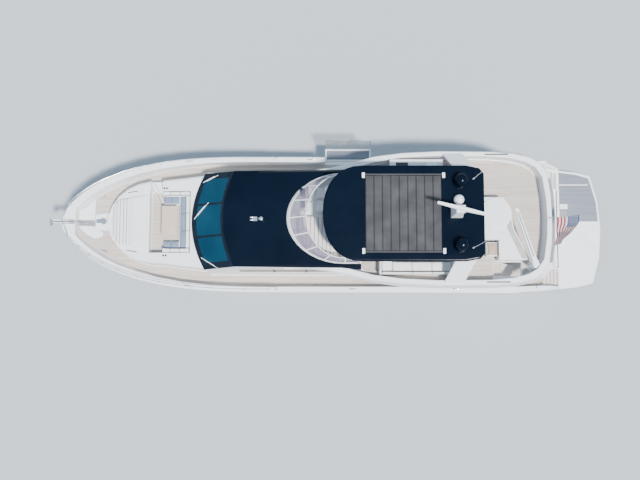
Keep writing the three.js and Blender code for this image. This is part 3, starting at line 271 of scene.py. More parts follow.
def shell(name, front, thick, flip=False):
    """Thin closed panel: a grid of points, the same grid moved back along its normals, and its four edges."""
    front = np.asarray(front, float)
    front = front[::-1] if flip else front
    normal = np.cross(np.gradient(front, axis=0), np.gradient(front, axis=1))
    normal /= np.linalg.norm(normal, axis=2)[..., None]
    m, n = front.shape[:2]
    index = np.arange(m * n).reshape(m, n)
    top = grid_faces(m, n)
    rim = np.concatenate([index[:, 0], index[-1, 1:], index[-2::-1, -1], index[0, -2:0:-1]])
    after = np.roll(rim, -1)
    side = np.stack([after, rim, rim + m * n, after + m * n], -1)
    points = np.concatenate([front.reshape(-1, 3), (front - normal * thick).reshape(-1, 3)])
    made = put(name, points, np.concatenate([top, top[:, ::-1] + m * n, side]))
    made.data.set_sharp_from_angle(angle=math.radians(40))
    return made


def on_side(side, x0, x1, low, high, proud, steps=40, taper=0.0):
    """Grid on the topsides between two lengths and two height lines, narrowed at its ends by the taper."""
    share = np.linspace(-1, 1, steps)[:, None]
    x = (x0 + x1) / 2 + (x1 - x0) / 2 * share + np.zeros((1, 7))
    middle, half = (low(x) + high(x)) / 2, (high(x) - low(x)) / 2
    z = middle + half * (1 - taper * np.abs(share) ** 6) * np.linspace(-1, 1, 7)[None, :]
    return np.stack([x, side * (hull_y(x, z) + proud), z], -1)


def rising(height, slope=0.0):
    """Line on the topsides at a height amidships, rising by a slope towards the bow."""
    return lambda x: height + slope * x


def under_cap(drop):
    """Line on the topsides at a drop below the bulwark cap."""
    return lambda x: sheer_z(x) - drop


smoke, smoke_edge = (0.006, 0.014, 0.026), (0.010, 0.020, 0.034)
dark_glass = finish("dark_glass", smoke, smoke_edge, 0.07, coat=0.25, size=0.8, relief=0.0)
rubber = finish("black_rubber", (0.022, 0.023, 0.025), (0.040, 0.040, 0.042), 0.55, size=3, grain=150)
bright, dulled = (0.78, 0.79, 0.81), (0.66, 0.67, 0.70)
steel = finish("stainless", bright, dulled, 0.16, metal=1.0, size=6, grain=200, relief=0.02)
panes = [
    ("aft", -5.2, -2.2, rising(0.95), rising(1.50)),
    ("long", -1.2, 4.6, rising(0.95, 0.012), rising(1.52, 0.02)),
    ("fore", 5.6, 8.2, rising(1.01, 0.03), rising(1.41, 0.05)),
]
strake_aft, strake_fore, balcony_aft, balcony_fore = -10.4, 9.0, -1.58, 0.78
flanks = [("port", 1), ("starboard", -1)]
for label, side in flanks:
    for part, x0, x1, low, high in panes:
        grid = on_side(side, x0, x1, low, high, 0.006, taper=0.55)
        fitted(shell(f"hull_window_{part}_{label}", grid, 0.02, side > 0), dark_glass)
    broken = [(strake_aft, balcony_aft), (balcony_fore, strake_fore)]
    runs = [(strake_aft, strake_fore)] if side > 0 else broken
    for part, (x0, x1) in enumerate(runs, 1):
        grid = on_side(side, x0, x1, under_cap(0.53), under_cap(0.45), 0.022, 90, 0.3)
        fitted(shell(f"rubbing_strake_{part}_{label}", grid, 0.05, side > 0), rubber)
        grid = on_side(side, x0 + 0.02, x1 - 0.02, under_cap(0.505), under_cap(0.475), 0.028, 90, 0.3)
        fitted(shell(f"strake_cap_{part}_{label}", grid, 0.008, side > 0), steel)


# Dark mouldings. The forward roof over the lower helm and the hardtop over the fly bridge are of the same
# laminate, painted deep navy and polished like a car's bonnet.
deep_navy, worn_navy = (0.0011, 0.0036, 0.0105), (0.0020, 0.0056, 0.0140)
navy = finish("navy_gloss", deep_navy, worn_navy, 0.18, shine=0.09, size=0.5, grain=40, relief=0.01)
skin("forward_roof", navy, 0.01, 40)
skin("hardtop", navy, 0.015, 40)


# Metal fittings. Anchor, windlass, posts, flag staff and lift arms are polished stainless steel; propellers
# and rudders are cast bronze, dull where the water keeps them.
clean_bronze, dull_bronze = (0.52, 0.36, 0.19), (0.30, 0.27, 0.20)
bronze = finish("cast_bronze", clean_bronze, dull_bronze, 0.38, metal=1.0, size=5, grain=120, relief=0.15)
for node in [
    "post_port", "post_starboard", "lift_arms_upper", "lift_arms_lower", "anchor", "windlass", "flag_staff",
]:
    skin(node, steel, 0.003, 40)
for node in ["propeller_port", "propeller_starboard", "rudder_port", "rudder_starboard"]:
    skin(node, bronze, 0.002, 50)


# Teak decks. Planks 60 mm wide run fore and aft on the side decks with dark caulked seams, silvered by sun
# and salt; panels of the same wood are glued down in the seating well, on the fly deck and on the steps.
inputs = [("Place", "Vector", None), ("Width", "Float", 0.06), ("Share", "Float", 0.10)]
planks, given, result = node_group("planks", inputs, ["Seam", "Tone", "Grain"])
axes = add_node(planks, "ShaderNodeSeparateXYZ", [(0, given.outputs["Place"])]).outputs
count = maths(planks, "DIVIDE", axes[1], given.outputs["Width"])
seam = maths(planks, "LESS_THAN", maths(planks, "FRACT", count), given.outputs["Share"])
number = maths(planks, "FLOOR", count)
stave = maths(planks, "DIVIDE", axes[0], 2.1)
length = maths(planks, "FLOOR", maths(planks, "MULTIPLY_ADD", number, 0.37, stave))
pair = add_node(planks, "ShaderNodeCombineXYZ", [(0, number), (1, length)])
tone = add_node(planks, "ShaderNodeTexWhiteNoise", [(0, pair.outputs[0])]).outputs[0]
longer = [(0, given.outputs["Place"]), (1, (2.0, 55.0, 2.0))]
stretch = add_node(planks, "ShaderNodeVectorMath", longer, operation="MULTIPLY").outputs[0]
fibre = add_node(planks, "ShaderNodeTexNoise", [("Vector", stretch), ("Scale", 1.0), ("Detail", 5.0)])
for label, source in [("Seam", seam), ("Tone", tone), ("Grain", fibre.outputs[0])]:
    planks.links.new(source, result.inputs[label])


def teak(name, pale, dark, caulk=(0.05, 0.05, 0.055), width=0.06, share=0.10):
    """Planked wood: each stave has its own tone, grain runs along it, and the seams are dark rubber."""
    made = bpy.data.materials.new(name)
    made.use_nodes = True
    tree = made.node_tree
    body = tree.nodes["Principled BSDF"]
    laid = add_node(tree, "ShaderNodeGroup", node_tree=planks)
    tree.links.new(add_node(tree, "ShaderNodeTexCoord").outputs["Object"], laid.inputs["Place"])
    laid.inputs["Width"].default_value, laid.inputs["Share"].default_value = width, share
    seam, tone, fibre = (laid.outputs[label] for label in ("Seam", "Tone", "Grain"))
    mixed = [("Value", maths(tree, "MULTIPLY_ADD", tone, 0.5, fibre)), ("From Min", 0.35), ("From Max", 1.05)]
    drift = add_node(tree, "ShaderNodeMapRange", mixed).outputs[0]
    wood = blend(tree, drift, (*pale, 1), (*dark, 1))
    gloss = add_node(tree, "ShaderNodeMapRange", [("Value", fibre), ("To Min", 0.55), ("To Max", 0.8)])
    height = maths(tree, "MULTIPLY_ADD", seam, -2.0, fibre)
    bump = add_node(tree, "ShaderNodeBump", [("Strength", 0.25), ("Distance", 0.002), ("Height", height)])
    tree.links.new(blend(tree, seam, wood, (*caulk, 1)), body.inputs["Base Color"])
    tree.links.new(gloss.outputs[0], body.inputs["Roughness"])
    tree.links.new(bump.outputs[0], body.inputs["Normal"])
    return made


deck_wood = teak("silvered_teak", (0.60, 0.54, 0.49), (0.47, 0.41, 0.37))
for held in frame["nodes"]["deck_teak"].material_slots:
    held.material = deck_wood


def wound(outline):
    """Array of a plan outline's points, turned round if they run clockwise."""
    plan = np.asarray(outline, float)
    after = np.roll(plan, -1, 0)
    clockwise = np.sum(plan[:, 0] * after[:, 1] - plan[:, 1] * after[:, 0]) < 0
    return plan[::-1] if clockwise else plan


def prism(name, lower, upper, smooth=False):
    """Closed block between two rings of as many points, which run counter-clockwise seen from above."""
    i = np.arange(len(lower))
    j, n = np.roll(i, -1), len(lower)
    faces = [i[::-1], i + n, *np.stack([i, j, n + j, n + i], -1)]
    return put(name, np.vstack([lower, upper]), faces, smooth)


def at_height(plan, z):
    """Points of a plan outline at one height."""
    return np.c_[plan, np.full(len(plan), z)]


def slab(name, outline, low, high, material, body="hull", edge=0.003, replaces=None):
    """Flat panel on a plan outline of x, y points, from one height to another, with eased edges."""
    plan = wound(outline)
    made = prism(name, at_height(plan, low), at_height(plan, high))
    if edge:
        eased(made, edge)
    return fitted(made, material, body, replaces)


def both_sides(port):
    """Closed plan outline from its port half, given bow to stern."""
    return [*port, *[(x, -y) for x, y in reversed(port) if y > 0]]


def oblong(x0, x1, y0, y1):
    """Plan outline of a rectangle."""
    return [(x0, y0), (x1, y0), (x1, y1), (x0, y1)]


film, side_deck, fly_sole, well_sole = 0.0004, 2.1123, 4.30, 2.96
fly_edge = np.array([
    (-1.5, 2.90), (-2.8, 3.08), (-4.5, 3.16), (-7.0, 3.14), (-8.0, 3.05), (-8.7, 2.89), (-9.15, 2.64),
    (-9.45, 2.20), (-9.6, 1.20), (-9.64, 0),
])
inner = np.c_[fly_edge[:, 0] - 0.041 * fly_edge[:, 0], np.maximum(0, fly_edge[:, 1] - 0.37)]
fore_part = [(0.2, 0.0), (0.2, 1.93), (-0.6, 2.05), *map(tuple, inner[:3]), (-6.70, 2.77), (-6.93, 2.76)]
slab("fly_sole_teak", both_sides(fore_part), fly_sole + film, fly_sole + 0.009, deck_wood)
port_quarter = [tuple(p) for p in inner if p[0] < -8.3]
starboard_quarter = [(x, -y) for x, y in reversed([tuple(p) for p in inner if p[0] < -6.95]) if y > 0]
aft_part = [(-6.94, 1.92), (-8.27, 1.92), (-8.27, 2.60)] + port_quarter + starboard_quarter + [(-6.94, -2.76)]
slab("fly_aft_teak", aft_part, fly_sole + film, fly_sole + 0.009, deck_wood)
well = both_sides([(8.91, 0.0), (8.91, 1.43), (8.34, 1.43), (8.34, 0.85), (7.58, 0.85)])
slab("seat_well_teak", well, well_sole + film, well_sole + 0.010, deck_wood)
going, riser = 0.138, 0.273
for i in range(7):
    x, z = -8.235 + going * i, side_deck + riser * (i + 1)
    plan = oblong(x + 0.012, x + (0.13 if i < 6 else 0.44), 1.99, 2.56)
    slab(f"tread_{i + 1}", plan, z + film, z + 0.008, deck_wood)
going, riser = 0.245, 0.275
for label, side in flanks:
    low, high = sorted([side * 2.0, side * 2.83])
    for i in range(5):
        x, z = -10.895 + going * i, 0.725 + riser * i
        plan = oblong(x + 0.03, x + (0.235 if i < 4 else 0.29), low, high)
        slab(f"side_step_{label}_{i + 1}", plan, z + film, z + 0.008, deck_wood)


# Swim platform. A white moulding on lift arms: its starboard part is laid with grey weathered teak inside a
# white margin, its port part is moulded non-skid, and a ladder's lid and a foot pad lie by the transom.
platform_top, forward_edge = 0.55, -11.04
# The same dark blue-grey teak is used on the balcony deck, where its colour is painted shade.
grey_and_shade_teak = teak("weathered_and_shade_teak", (0.23, 0.25, 0.30), (0.17, 0.19, 0.235))
non_skid = finish("non_skid", (0.84, 0.85, 0.86), (0.78, 0.79, 0.80), 0.7, size=1.5, grain=180, relief=0.6)
edge = [(-12.95, 0.40), (-12.87, 1.36), (-12.69, 2.02), (-12.53, 2.58), (-11.88, 2.77), (forward_edge, 2.88)]
teak_plan = [(x, -y) for x, y in [*edge, (forward_edge, 0.40)]]
slab("platform_teak", teak_plan, platform_top + film, platform_top + 0.007, grey_and_shade_teak, body="swim_platform")
port_plan = [(-12.97, -0.34), *edge, (forward_edge, -0.34)]
low, high = platform_top + film, platform_top + 0.004
slab("platform_non_skid", port_plan, low, high, non_skid, "swim_platform")
grip = finish("grip_pad", (0.27, 0.29, 0.32), (0.21, 0.23, 0.26), 0.85, size=4, grain=260, relief=0.5)
for name, plan, proud, material in [
    ("platform_line", oblong(-12.5, -11.06, -2.27, -2.22), 0.010, gelcoat),
    ("ladder_lid", oblong(-11.44, -11.06, -1.27, -1.02), 0.022, gelcoat),
    ("foot_pad", oblong(-11.40, -11.06, -0.95, -0.45), 0.016, grip),
]:
    low, high = platform_top + 0.0074, platform_top + proud
    slab(name, plan, low, high, material, "swim_platform", 0.001)


# Windows. The windscreen is one curved sheet of tinted glass with dark posts bonded over it and three wipers;
# the deckhouse sides are dark glass divided by narrow black posts.
def glass(name, tint, edge, alpha, shine=0.5, coat=0.6):
    """Tinted pane, part of it clear: a deep colour that drifts a little, and a film of salt in its gloss."""
    made = finish(name, tint, edge, 0.06, coat=coat, shine=shine, size=0.9, grain=8, relief=0.015)
    made.node_tree.nodes["Principled BSDF"].inputs["Alpha"].default_value = alpha
    return made


screen_glass = glass("screen_glass", (0.004, 0.036, 0.070), (0.008, 0.055, 0.095), 0.80, 0.2, 0.0)
black, worn_black = (0.004, 0.008, 0.016), (0.008, 0.013, 0.022)
screen_black = finish("screen_black", black, worn_black, 0.3, shine=0.15, size=2, grain=60)
cabin_glass = glass("cabin_glass", smoke, smoke_edge, 0.86, 0.4, 0.2)
for node in ["aft_glass", "side_glass_port", "side_glass_starboard", "cockpit_door"]:
    skin(node, cabin_glass, 0.0, 60)
sill_z, screen_tall, rake = 3.7, 1.02, 1.52


def on_screen(y, z, proud=0.0):
    """Point on the windscreen: raked aft from sill to roof, and drawn aft with the square of the breadth."""
    t = (z - sill_z) / screen_tall
    x = 6.85 - rake * t - (0.12 - 0.012 * t) * y ** 2
    return np.stack([x + 0.57 * proud, y + 0 * x, z + 0.82 * proud], -1)


def pipe(name, path, radius, sides=14):
    """Round bar along a path: a circle about each point, square to the path, and closed at its ends."""
    p = np.asarray(path, float)
    t = np.gradient(p, axis=0)
    t /= np.linalg.norm(t, axis=1)[:, None]
    n = np.cross(t, np.linalg.svd(t, full_matrices=True)[2][-1])
    n /= np.linalg.norm(n, axis=1)[:, None]
    b = np.cross(t, n)
    a = np.linspace(0, 2 * np.pi, sides, endpoint=False)[None, :, None]
    r = np.broadcast_to(np.asarray(radius, float), (len(p),))[:, None, None]
    rings = p[:, None] + r * (np.cos(a) * n[:, None] + np.sin(a) * b[:, None])
    first, last = np.arange(sides), np.arange(sides)[::-1] + (len(p) - 1) * sides
    made = put(name, rings, [*grid_faces(len(p), sides, True), first, last])
    work = bmesh.new()
    work.from_mesh(made.data)
    bmesh.ops.recalc_face_normals(work, faces=work.faces)
    work.to_mesh(made.data)
    work.free()
    made.data.set_sharp_from_angle(angle=math.radians(50))
    return made


def merged(name, pieces):
    """Several new meshes made one object."""
    work = bmesh.new()
    for piece in pieces:
        work.from_mesh(piece.data)
        bpy.data.objects.remove(piece)
    mesh = bpy.data.meshes.new(name)
    work.to_mesh(mesh)
    work.free()
    made = bpy.data.objects.new(name, mesh)
    bpy.context.scene.collection.objects.link(made)
    return made


def screen_grid(y0, y1, z0, z1, proud, across=25, upward=9):
    """Grid on the windscreen between two breadths and two heights, drawn in a little towards the roof."""
    y, z = np.linspace(y0, y1, across)[:, None], np.linspace(z0, z1, upward)[None, :]
    return on_screen(y * (1 - 0.025 * (z - sill_z)), z + 0 * y, proud)


pane = shell("windscreen_pane", screen_grid(-2.25, 2.25, 3.64, 4.74, 0.011), 0.007, True)
fitted(pane, screen_glass)
skin("windscreen", screen_glass, 0.0, 60)
border = [(-2.24, 2.24, 3.645, 3.80), (-2.24, 2.24, 4.61, 4.735)]
border += [(-2.24, -1.95, 3.80, 4.61), (1.95, 2.24, 3.80, 4.61)]
frit = [shell("frit", screen_grid(*edges, 0.003, 25, 4), 0.018, True) for edges in border]
fitted(merged("windscreen_frit", frit), screen_black)
for label, side in flanks:
    y = side * 0.75
    post = shell(f"screen_post_{label}", screen_grid(y - 0.05, y + 0.05, 3.78, 4.63, 0.003, 5), 0.016, True)
    fitted(post, screen_black)
for label, y0, y1 in [("starboard", -1.82, -2.06), ("middle", -0.10, -0.68), ("port", 1.70, 2.10)]:
    s = np.linspace(0, 1, 14)
    arm = on_screen(y0 + (y1 - y0) * s, 3.74 + 0.32 * s, 0.03 + 0.02 * np.sin(np.pi * s))
    blade = on_screen(y0 + (y1 - y0) * (0.3 + s) + 0.03, 3.84 + 0.32 * s, 0.022)
    parts = [pipe("arm", arm, 0.018, 10), pipe("blade", blade, 0.012, 8)]
    fitted(merged(f"wiper_{label}", parts), gelcoat)
for label, side in flanks:
    posts = []
    for x in (-2.9, -1.4, 0.1, 1.6, 3.1):
        z, wide = np.linspace(2.955, 3.845, 4)[:, None], np.linspace(-0.04, 0.04, 3)[None, :]
        y = side * (2.394 - 0.12 * (z - 2.05) / 1.65)
        grid = np.stack([x + wide + 0 * z, y + 0 * wide, z + 0 * wide], -1)
        posts.append(shell("post", grid, 0.011, side < 0))
    fitted(merged(f"side_posts_{label}", posts), rubber)


# Lower helm. A dark leather-covered dash lies under the windscreen, and behind it two chairs padded in cream
# hide stand on steel posts, on the oak sole of the saloon.
def bake(made):
    """Applies the modifiers of an object to its mesh."""
    graph = bpy.context.evaluated_depsgraph_get()
    mesh = bpy.data.meshes.new_from_object(made.evaluated_get(graph))
    made.modifiers.clear()
    made.data = mesh


def places(mesh):
    """Vertex places of a mesh as an array."""
    flat = np.zeros(len(mesh.vertices) * 3)
    mesh.vertices.foreach_get("co", flat)
    return flat.reshape(-1, 3)


def edge_distance(plan, xy):
    """Distance of points from the nearest side of a closed outline."""
    a, b = plan[None], np.roll(plan, -1, 0)[None]
    t = np.clip(((xy[:, None] - a) * (b - a)).sum(2) / ((b - a) ** 2).sum(2), 0, 1)
    return np.linalg.norm(xy[:, None] - a - t[..., None] * (b - a), axis=2).min(1)


def drawn_in(plan, inset):
    """Outline moved in by an inset, and by a sine more between its corners, eight points to a side."""
    along = np.roll(plan, -1, 0) - plan
    long = np.linalg.norm(along, axis=1)
    inward = np.stack([-along[:, 1], along[:, 0]], -1) / long[:, None]
    s = np.linspace(0, 1, 9)[:-1]
    drawn = inset + (0.02 * np.minimum(long, 0.6))[:, None] * np.sin(np.pi * s)[None]
    line = plan[:, None] + s[None, :, None] * along[:, None] + drawn[..., None] * inward[:, None]
    return line.reshape(-1, 2)


def blown_up(made, p, swell, floor_z):
    """Places of a block whose points p swell as cloth, each by at most the swell and none below a floor."""
    last = 20
    cloth = made.modifiers.new("swell", "CLOTH")
    cloth.settings.use_pressure, cloth.settings.uniform_pressure_force = True, 4.0
    cloth.settings.effector_weights.gravity = 0.0
    cloth.point_cache.frame_start, cloth.point_cache.frame_end = 1, last
    for step in range(1, last + 1):
        bpy.context.scene.frame_set(step)
    bake(made)
    bpy.context.scene.frame_set(1)
    move = places(made.data) - p
    p = p + move * swell / (np.linalg.norm(move, axis=1)[:, None] + swell)
    p[:, 2] = np.maximum(p[:, 2], floor_z)
    return p


def sewn(made, seams, low, high):
    """Places of a block with a channel pressed in along each seam, and each place's share of the height.

    A seam is given as (axis that it crosses, place). The mesh is cut beside it, and the channel follows a
    bell curve of the distance, which the seam attribute keeps for the painted shade in the cover's channels,
    and runs out at the foot.
    """
    wide, deep = 0.014, 0.018
    work = bmesh.new()
    work.from_mesh(made.data)
    for axis, at in seams:
        for shift in (-0.026, -0.013, 0.0, 0.013, 0.026):
            whole = [*work.verts, *work.edges, *work.faces]
            spot, way = [0.0, 0.0, 0.0], [0.0, 0.0, 0.0]
            spot[axis], way[axis] = at + shift, 1.0
            bmesh.ops.bisect_plane(work, geom=whole, plane_co=spot, plane_no=way, dist=1e-5)
    work.to_mesh(made.data)
    work.free()
    p = places(made.data)
    facing = np.zeros(len(p) * 3)
    made.data.vertex_normals.foreach_get("vector", facing)
    share = np.clip((p[:, 2] - low) / (high - low), 0, 1)
    seam = sum((np.exp(-(((p[:, axis] - at) / wide) ** 2)) for axis, at in seams), np.zeros(len(p)))
    made.data.attributes.new("seam", "FLOAT", "POINT").data.foreach_set("value", np.clip(seam, 0, 1))
    return p - facing.reshape(-1, 3) * (deep * seam * np.clip(share * 3, 0, 1))[:, None], share


def cushion(name, outline, low, high, cover, seams=(), crown=0.025, swell=0.014, bed=None, replaces=None):
    """Padded block on a plan outline, crowned by a quarter circle of the distance to the edge.

    The block is meshed in even cells, swollen as cloth and sewn. On a base that isn't level its foot follows
    the bed, a height given as a function of the length.
    """
    plan = wound(outline)
    line, top, cell = drawn_in(plan, swell), high - crown - swell, 0.03
    made = prism(name, at_height(line, low + 0.002), at_height(line, top), True)
    remesh = made.modifiers.new("even_cells", "REMESH")
    remesh.mode, remesh.voxel_size = "VOXEL", cell
    bake(made)
    p = places(made.data)
    distance = edge_distance(plan, p[:, :2])
    depth = np.clip(distance / np.clip(distance.max(), 0.03, 0.22), 0, 1)
    p[:, 2] += crown * np.clip((p[:, 2] - low) / (top - low), 0, 1) * np.sqrt(1 - (1 - depth) ** 2)
    made.data.vertices.foreach_set("co", p.ravel())
    p = blown_up(made, p, swell, low + 0.001)
    made.data.vertices.foreach_set("co", p.ravel())
    finer = made.modifiers.new("finer", "SUBSURF")
    finer.levels = finer.render_levels = 1
    bake(made)
    p, share = sewn(made, seams, low, high)
    if bed is not None:
        p[:, 2] += (bed(p[:, 0]) - low) * (1 - share)
    made.data.vertices.foreach_set("co", p.ravel())
    made.data.update()
    made.data.polygons.foreach_set("use_smooth", [True] * len(made.data.polygons))
    made.data.materials.clear()
    return fitted(made, cover, replaces=replaces)


hide, worn_hide = (0.035, 0.037, 0.042), (0.060, 0.060, 0.066)
leather = finish("dash_leather", hide, worn_hide, 0.5, size=3, grain=240, relief=0.3)
sole_wood = teak("saloon_oak", (0.52, 0.40, 0.28), (0.42, 0.31, 0.21), (0.16, 0.12, 0.09), 0.12, 0.03)
slab("saloon_sole", oblong(-6.08, 5.2, -2.2, 2.2), side_deck + 0.0005, side_deck + 0.0097, sole_wood)
curve = [(float(on_screen(y, sill_z)[0]) - 0.16, float(y)) for y in np.linspace(2.05, -2.05, 15)]
dash = curve + [(5.0, -2.05), (4.9, -0.4), (4.9, 0.4), (5.0, 2.05)]
slab("lower_dash", dash, 3.30, 3.62, leather, edge=0.04)
cream = finish("cream_hide", (0.62, 0.60, 0.56), (0.52, 0.50, 0.47), 0.5, size=2, grain=160, relief=0.2)
for label, y in [("port", 0.55), ("starboard", -0.75)]:
    fitted(pipe(f"lower_post_{label}", [(4.07, y, 2.12), (4.07, y, 2.9)], 0.05), steel)
    cushion(f"lower_seat_{label}", oblong(3.80, 4.35, y - 0.28, y + 0.28), 2.9, 3.06, cream)
    cushion(f"lower_back_{label}", oblong(3.70, 3.86, y - 0.28, y + 0.28), 3.06, 3.75, cream)


# Sun pad. Two pads covered with marine vinyl lie on the sloping top of the fore trunk: the aft one plain, the
# fore one sewn in channels across. Short black grab rails stand on either side of them.
def upholstery(name, clean, worn):
    """Marine vinyl, with painted shade darkening it along the sewn channels that the seam attribute marks."""
    made = finish(name, clean, worn, 0.5, size=1.2, grain=220, relief=0.18)
    tree, colour, plain = overlaid(made)
    # Painted shade: the vinyl turns near black inside each sewn channel.
    channel_shade = add_node(tree, "ShaderNodeAttribute", attribute_name="seam")
    tree.links.new(blend(tree, channel_shade.outputs["Fac"], plain, (0.09, 0.09, 0.105, 1)), colour)
    return made


def trunk_top(x):
    """Height of the trunk's top, falling towards the bow."""
    return 3.62 - 0.06 * np.maximum(0, x - 9) + 0.001


def rounded(corners, radius):
    """Path through corners, each turned by a parabola that starts and ends a radius away from it."""
    p = np.asarray(corners, float)
    back, on = p[:-2] - p[1:-1], p[2:] - p[1:-1]
    start = p[1:-1] + back * radius / np.linalg.norm(back, axis=1)[:, None]
    stop = p[1:-1] + on * radius / np.linalg.norm(on, axis=1)[:, None]
    s = np.linspace(0, 1, 8)[None, :, None]
    curve = (1 - s) ** 2 * start[:, None] + 2 * s * (1 - s) * p[1:-1, None] + s ** 2 * stop[:, None]
    return np.concatenate([p[:1], curve.reshape(-1, p.shape[1]), p[-1:]])


vinyl = upholstery("white_vinyl", (0.82, 0.82, 0.81), (0.75, 0.75, 0.75))
aft_pad = [(9.01, -1.29), (9.81, -1.165), (9.81, 1.165), (9.01, 1.29)]
cushion("sunpad_aft", aft_pad, 3.57, 3.73, vinyl, bed=trunk_top, replaces="fore_sunpad")
fore_pad = both_sides([(10.69, 0), (10.65, 0.6), (10.5, 0.94), (10.3, 1.08), (9.82, 1.165)])
channels = [(0, 9.97), (0, 10.12), (0, 10.28), (0, 10.43), (0, 10.57)]
cushion("sunpad_fore", fore_pad, 3.53, 3.72, vinyl, seams=channels, bed=trunk_top, replaces="fore_sunpad")
for label, side in flanks:
    y0, y1 = side * 1.42, side * 1.36
    corners = [(9.5, y0, 3.58), (9.5, y0, 3.68), (9.95, y1, 3.65), (9.95, y1, 3.55)]
    fitted(pipe(f"pad_rail_{label}", rounded(corners, 0.03), 0.013), rubber)


# Fore sofa and table. A U-shaped moulded bench lines the seating well, with vinyl seats coloured a dark
# blue-grey as painted shade and white backs, steel-rimmed cup holders beside its ends and white tube rails by
# the gate ahead of it; a satin wooden table stands in the middle.
base, seat_z, back_top = well_sole + 0.0008, 3.244, 3.69
thin = {"crown": 0.02, "swell": 0.01}
bench = both_sides([(7.57, 0.0), (7.57, 0.88), (8.31, 0.88), (8.31, 1.42), (7.05, 1.42)])
slab("fore_bench", bench, base, seat_z - 0.002, gelcoat, edge=0.012, replaces="fore_sofa")
# Painted shade: the seats' vinyl is given the dark blue-grey of seats lying in shade.
shaded_seat_vinyl = upholstery("shaded_seat_vinyl", (0.17, 0.22, 0.33), (0.14, 0.19, 0.29))
for name, plan, high, cover, seams in [
    ("seat_aft", oblong(7.235, 7.56, -1.235, 1.235), 3.36, shaded_seat_vinyl, [(1, -0.41), (1, 0.41)]),
    ("seat_port", oblong(7.57, 8.315, 0.875, 1.235), 3.36, shaded_seat_vinyl, [(0, 7.94)]),
    ("seat_starboard", oblong(7.57, 8.315, -1.235, -0.875), 3.36, shaded_seat_vinyl, [(0, 7.94)]),
    ("back_aft", oblong(7.045, 7.23, -1.235, 1.235), back_top, vinyl, [(1, -0.41), (1, 0.41)]),
    ("back_port", oblong(7.045, 8.315, 1.245, 1.428), back_top, vinyl, [(0, 7.5), (0, 7.94)]),
    ("back_starboard", oblong(7.045, 8.315, -1.428, -1.245), back_top, vinyl, [(0, 7.5), (0, 7.94)]),
]:
    cushion("fore_" + name, plan, seat_z, high, cover, seams=seams, replaces="fore_sofa", **thin)
tan = finish("satin_wood", (0.60, 0.47, 0.40), (0.50, 0.38, 0.32), 0.35, size=1.5, grain=40, relief=0.05)
skin("fore_table", tan, 0.008)
for label, x in [("outer", 8.84), ("inner", 8.64)]:
    corners = [(x, -1.66, 3.60), (x, -1.66, 3.74), (x - 0.38, -0.92, 3.74), (x - 0.38, -0.92, 3.40)]
    fitted(pipe(f"gate_rail_{label}", rounded(corners, 0.05), 0.022), gelcoat)
turn = np.linspace(0, 2 * np.pi, 25)
for label, side in flanks:
    for end, x in [("fore", 8.25), ("aft", 8.13)]:
        ring = np.stack([x + 0.048 * np.cos(turn), side * 1.58 + 0.048 * np.sin(turn), 3.6225 + 0 * turn], -1)
        fitted(pipe(f"cup_rim_{end}_{label}", ring, 0.006, 8), steel)
        slab(f"cup_holder_{end}_{label}", ring[:-1, :2], 3.6204, 3.6224, rubber, edge=0)


# Anchor gear. White raised panels lie round the stem, the port one cut to the sunlit wedge beyond the port
# bulwark's shadow as painted light; a plate carries the windlass, and the chain runs in a grey channel from
# it to the bow roller, each link turned a quarter turn from the last.
def deck_z(x):
    """Height of the teak: level amidships and rising as a parabola towards the bow."""
    return side_deck + 0.0072 * np.maximum(0, x - 1) ** 2


def raised(name, xs, inner_y, outer_y, proud, material):
    """Panel proud of the fore deck's teak, between two lines of breadth given at the lengths xs."""
    x, t = np.linspace(xs[0], xs[-1], 30)[:, None], np.linspace(0, 1, 9)[None, :]
    y = np.interp(x, xs, inner_y) * (1 - t) + np.interp(x, xs, outer_y) * t
    grid = np.stack([x + 0 * t, y, deck_z(x) + proud + 0 * t], -1)
    made = shell(name, grid, proud - 0.0005, np.mean(outer_y) < np.mean(inner_y))
    return fitted(made, material)


edge_x = np.linspace(11.62, 12.36, 9)
bulwark_y = np.maximum(0.20, hull_y(edge_x, deck_z(edge_x)) - 0.16)
# Painted light: the port panel is white only over the wedge that the sun lights beyond the bulwark's shadow.
lit_wedge_x = [11.25, 11.62, 12.0, 12.33]
lit_wedge_inner, lit_wedge_outer = [0.45, 0.16, 0.13, 0.13], [0.62, 0.74, 0.52, 0.20]
raised("bow_panel_starboard", edge_x, np.full(9, -0.17), -bulwark_y, 0.018, gelcoat)
raised("bow_panel_port_lit_wedge", lit_wedge_x, lit_wedge_inner, lit_wedge_outer, 0.018, gelcoat)
raised("windlass_plate", [11.0, 11.6], [-0.52, -0.40], [0.34, 0.30], 0.010, gelcoat)
raised("chain_channel", [11.6, 12.37], [-0.13, -0.13], [0.11, 0.11], 0.006, grip)
x, t = np.linspace(12.42, 12.96, 12)[:, None], np.linspace(-1, 1, 7)[None, :]
cap_strip = np.stack([x + 0 * t, 0.10 * t + 0 * x, sheer_z(x) + 0.0055 + 0 * t], -1)
fitted(shell("cap_channel", cap_strip, 0.005), grip)
foot, head = float(deck_z(11.6)) + 0.034, 3.655
route = rounded([(11.62, 0, foot), (12.12, 0, foot + 0.055), (12.44, 0, 3.625), (12.56, 0, head)], 0.08)
gone = np.r_[0, np.cumsum(np.linalg.norm(np.diff(route, axis=0), axis=1))]
pitch, wire = 0.062, 0.008
links = []
for i, s in enumerate(np.arange(0.03, gone[-1] - 0.03, pitch)):
    centre, ahead = (np.array([np.interp(at, gone, route[:, k]) for k in range(3)]) for at in (s, s + 0.02))
    way = (ahead - centre) / np.linalg.norm(ahead - centre)
    across = np.array([0.0, 1.0, 0.0]) if i % 2 == 0 else np.cross(way, (0.0, 1.0, 0.0))
    a = np.linspace(0, 2 * np.pi, 17)[:, None]
    links.append(pipe("link", centre + 0.042 * np.cos(a) * way + 0.024 * np.sin(a) * across, wire, 8))
fitted(merged("anchor_chain", links), steel)


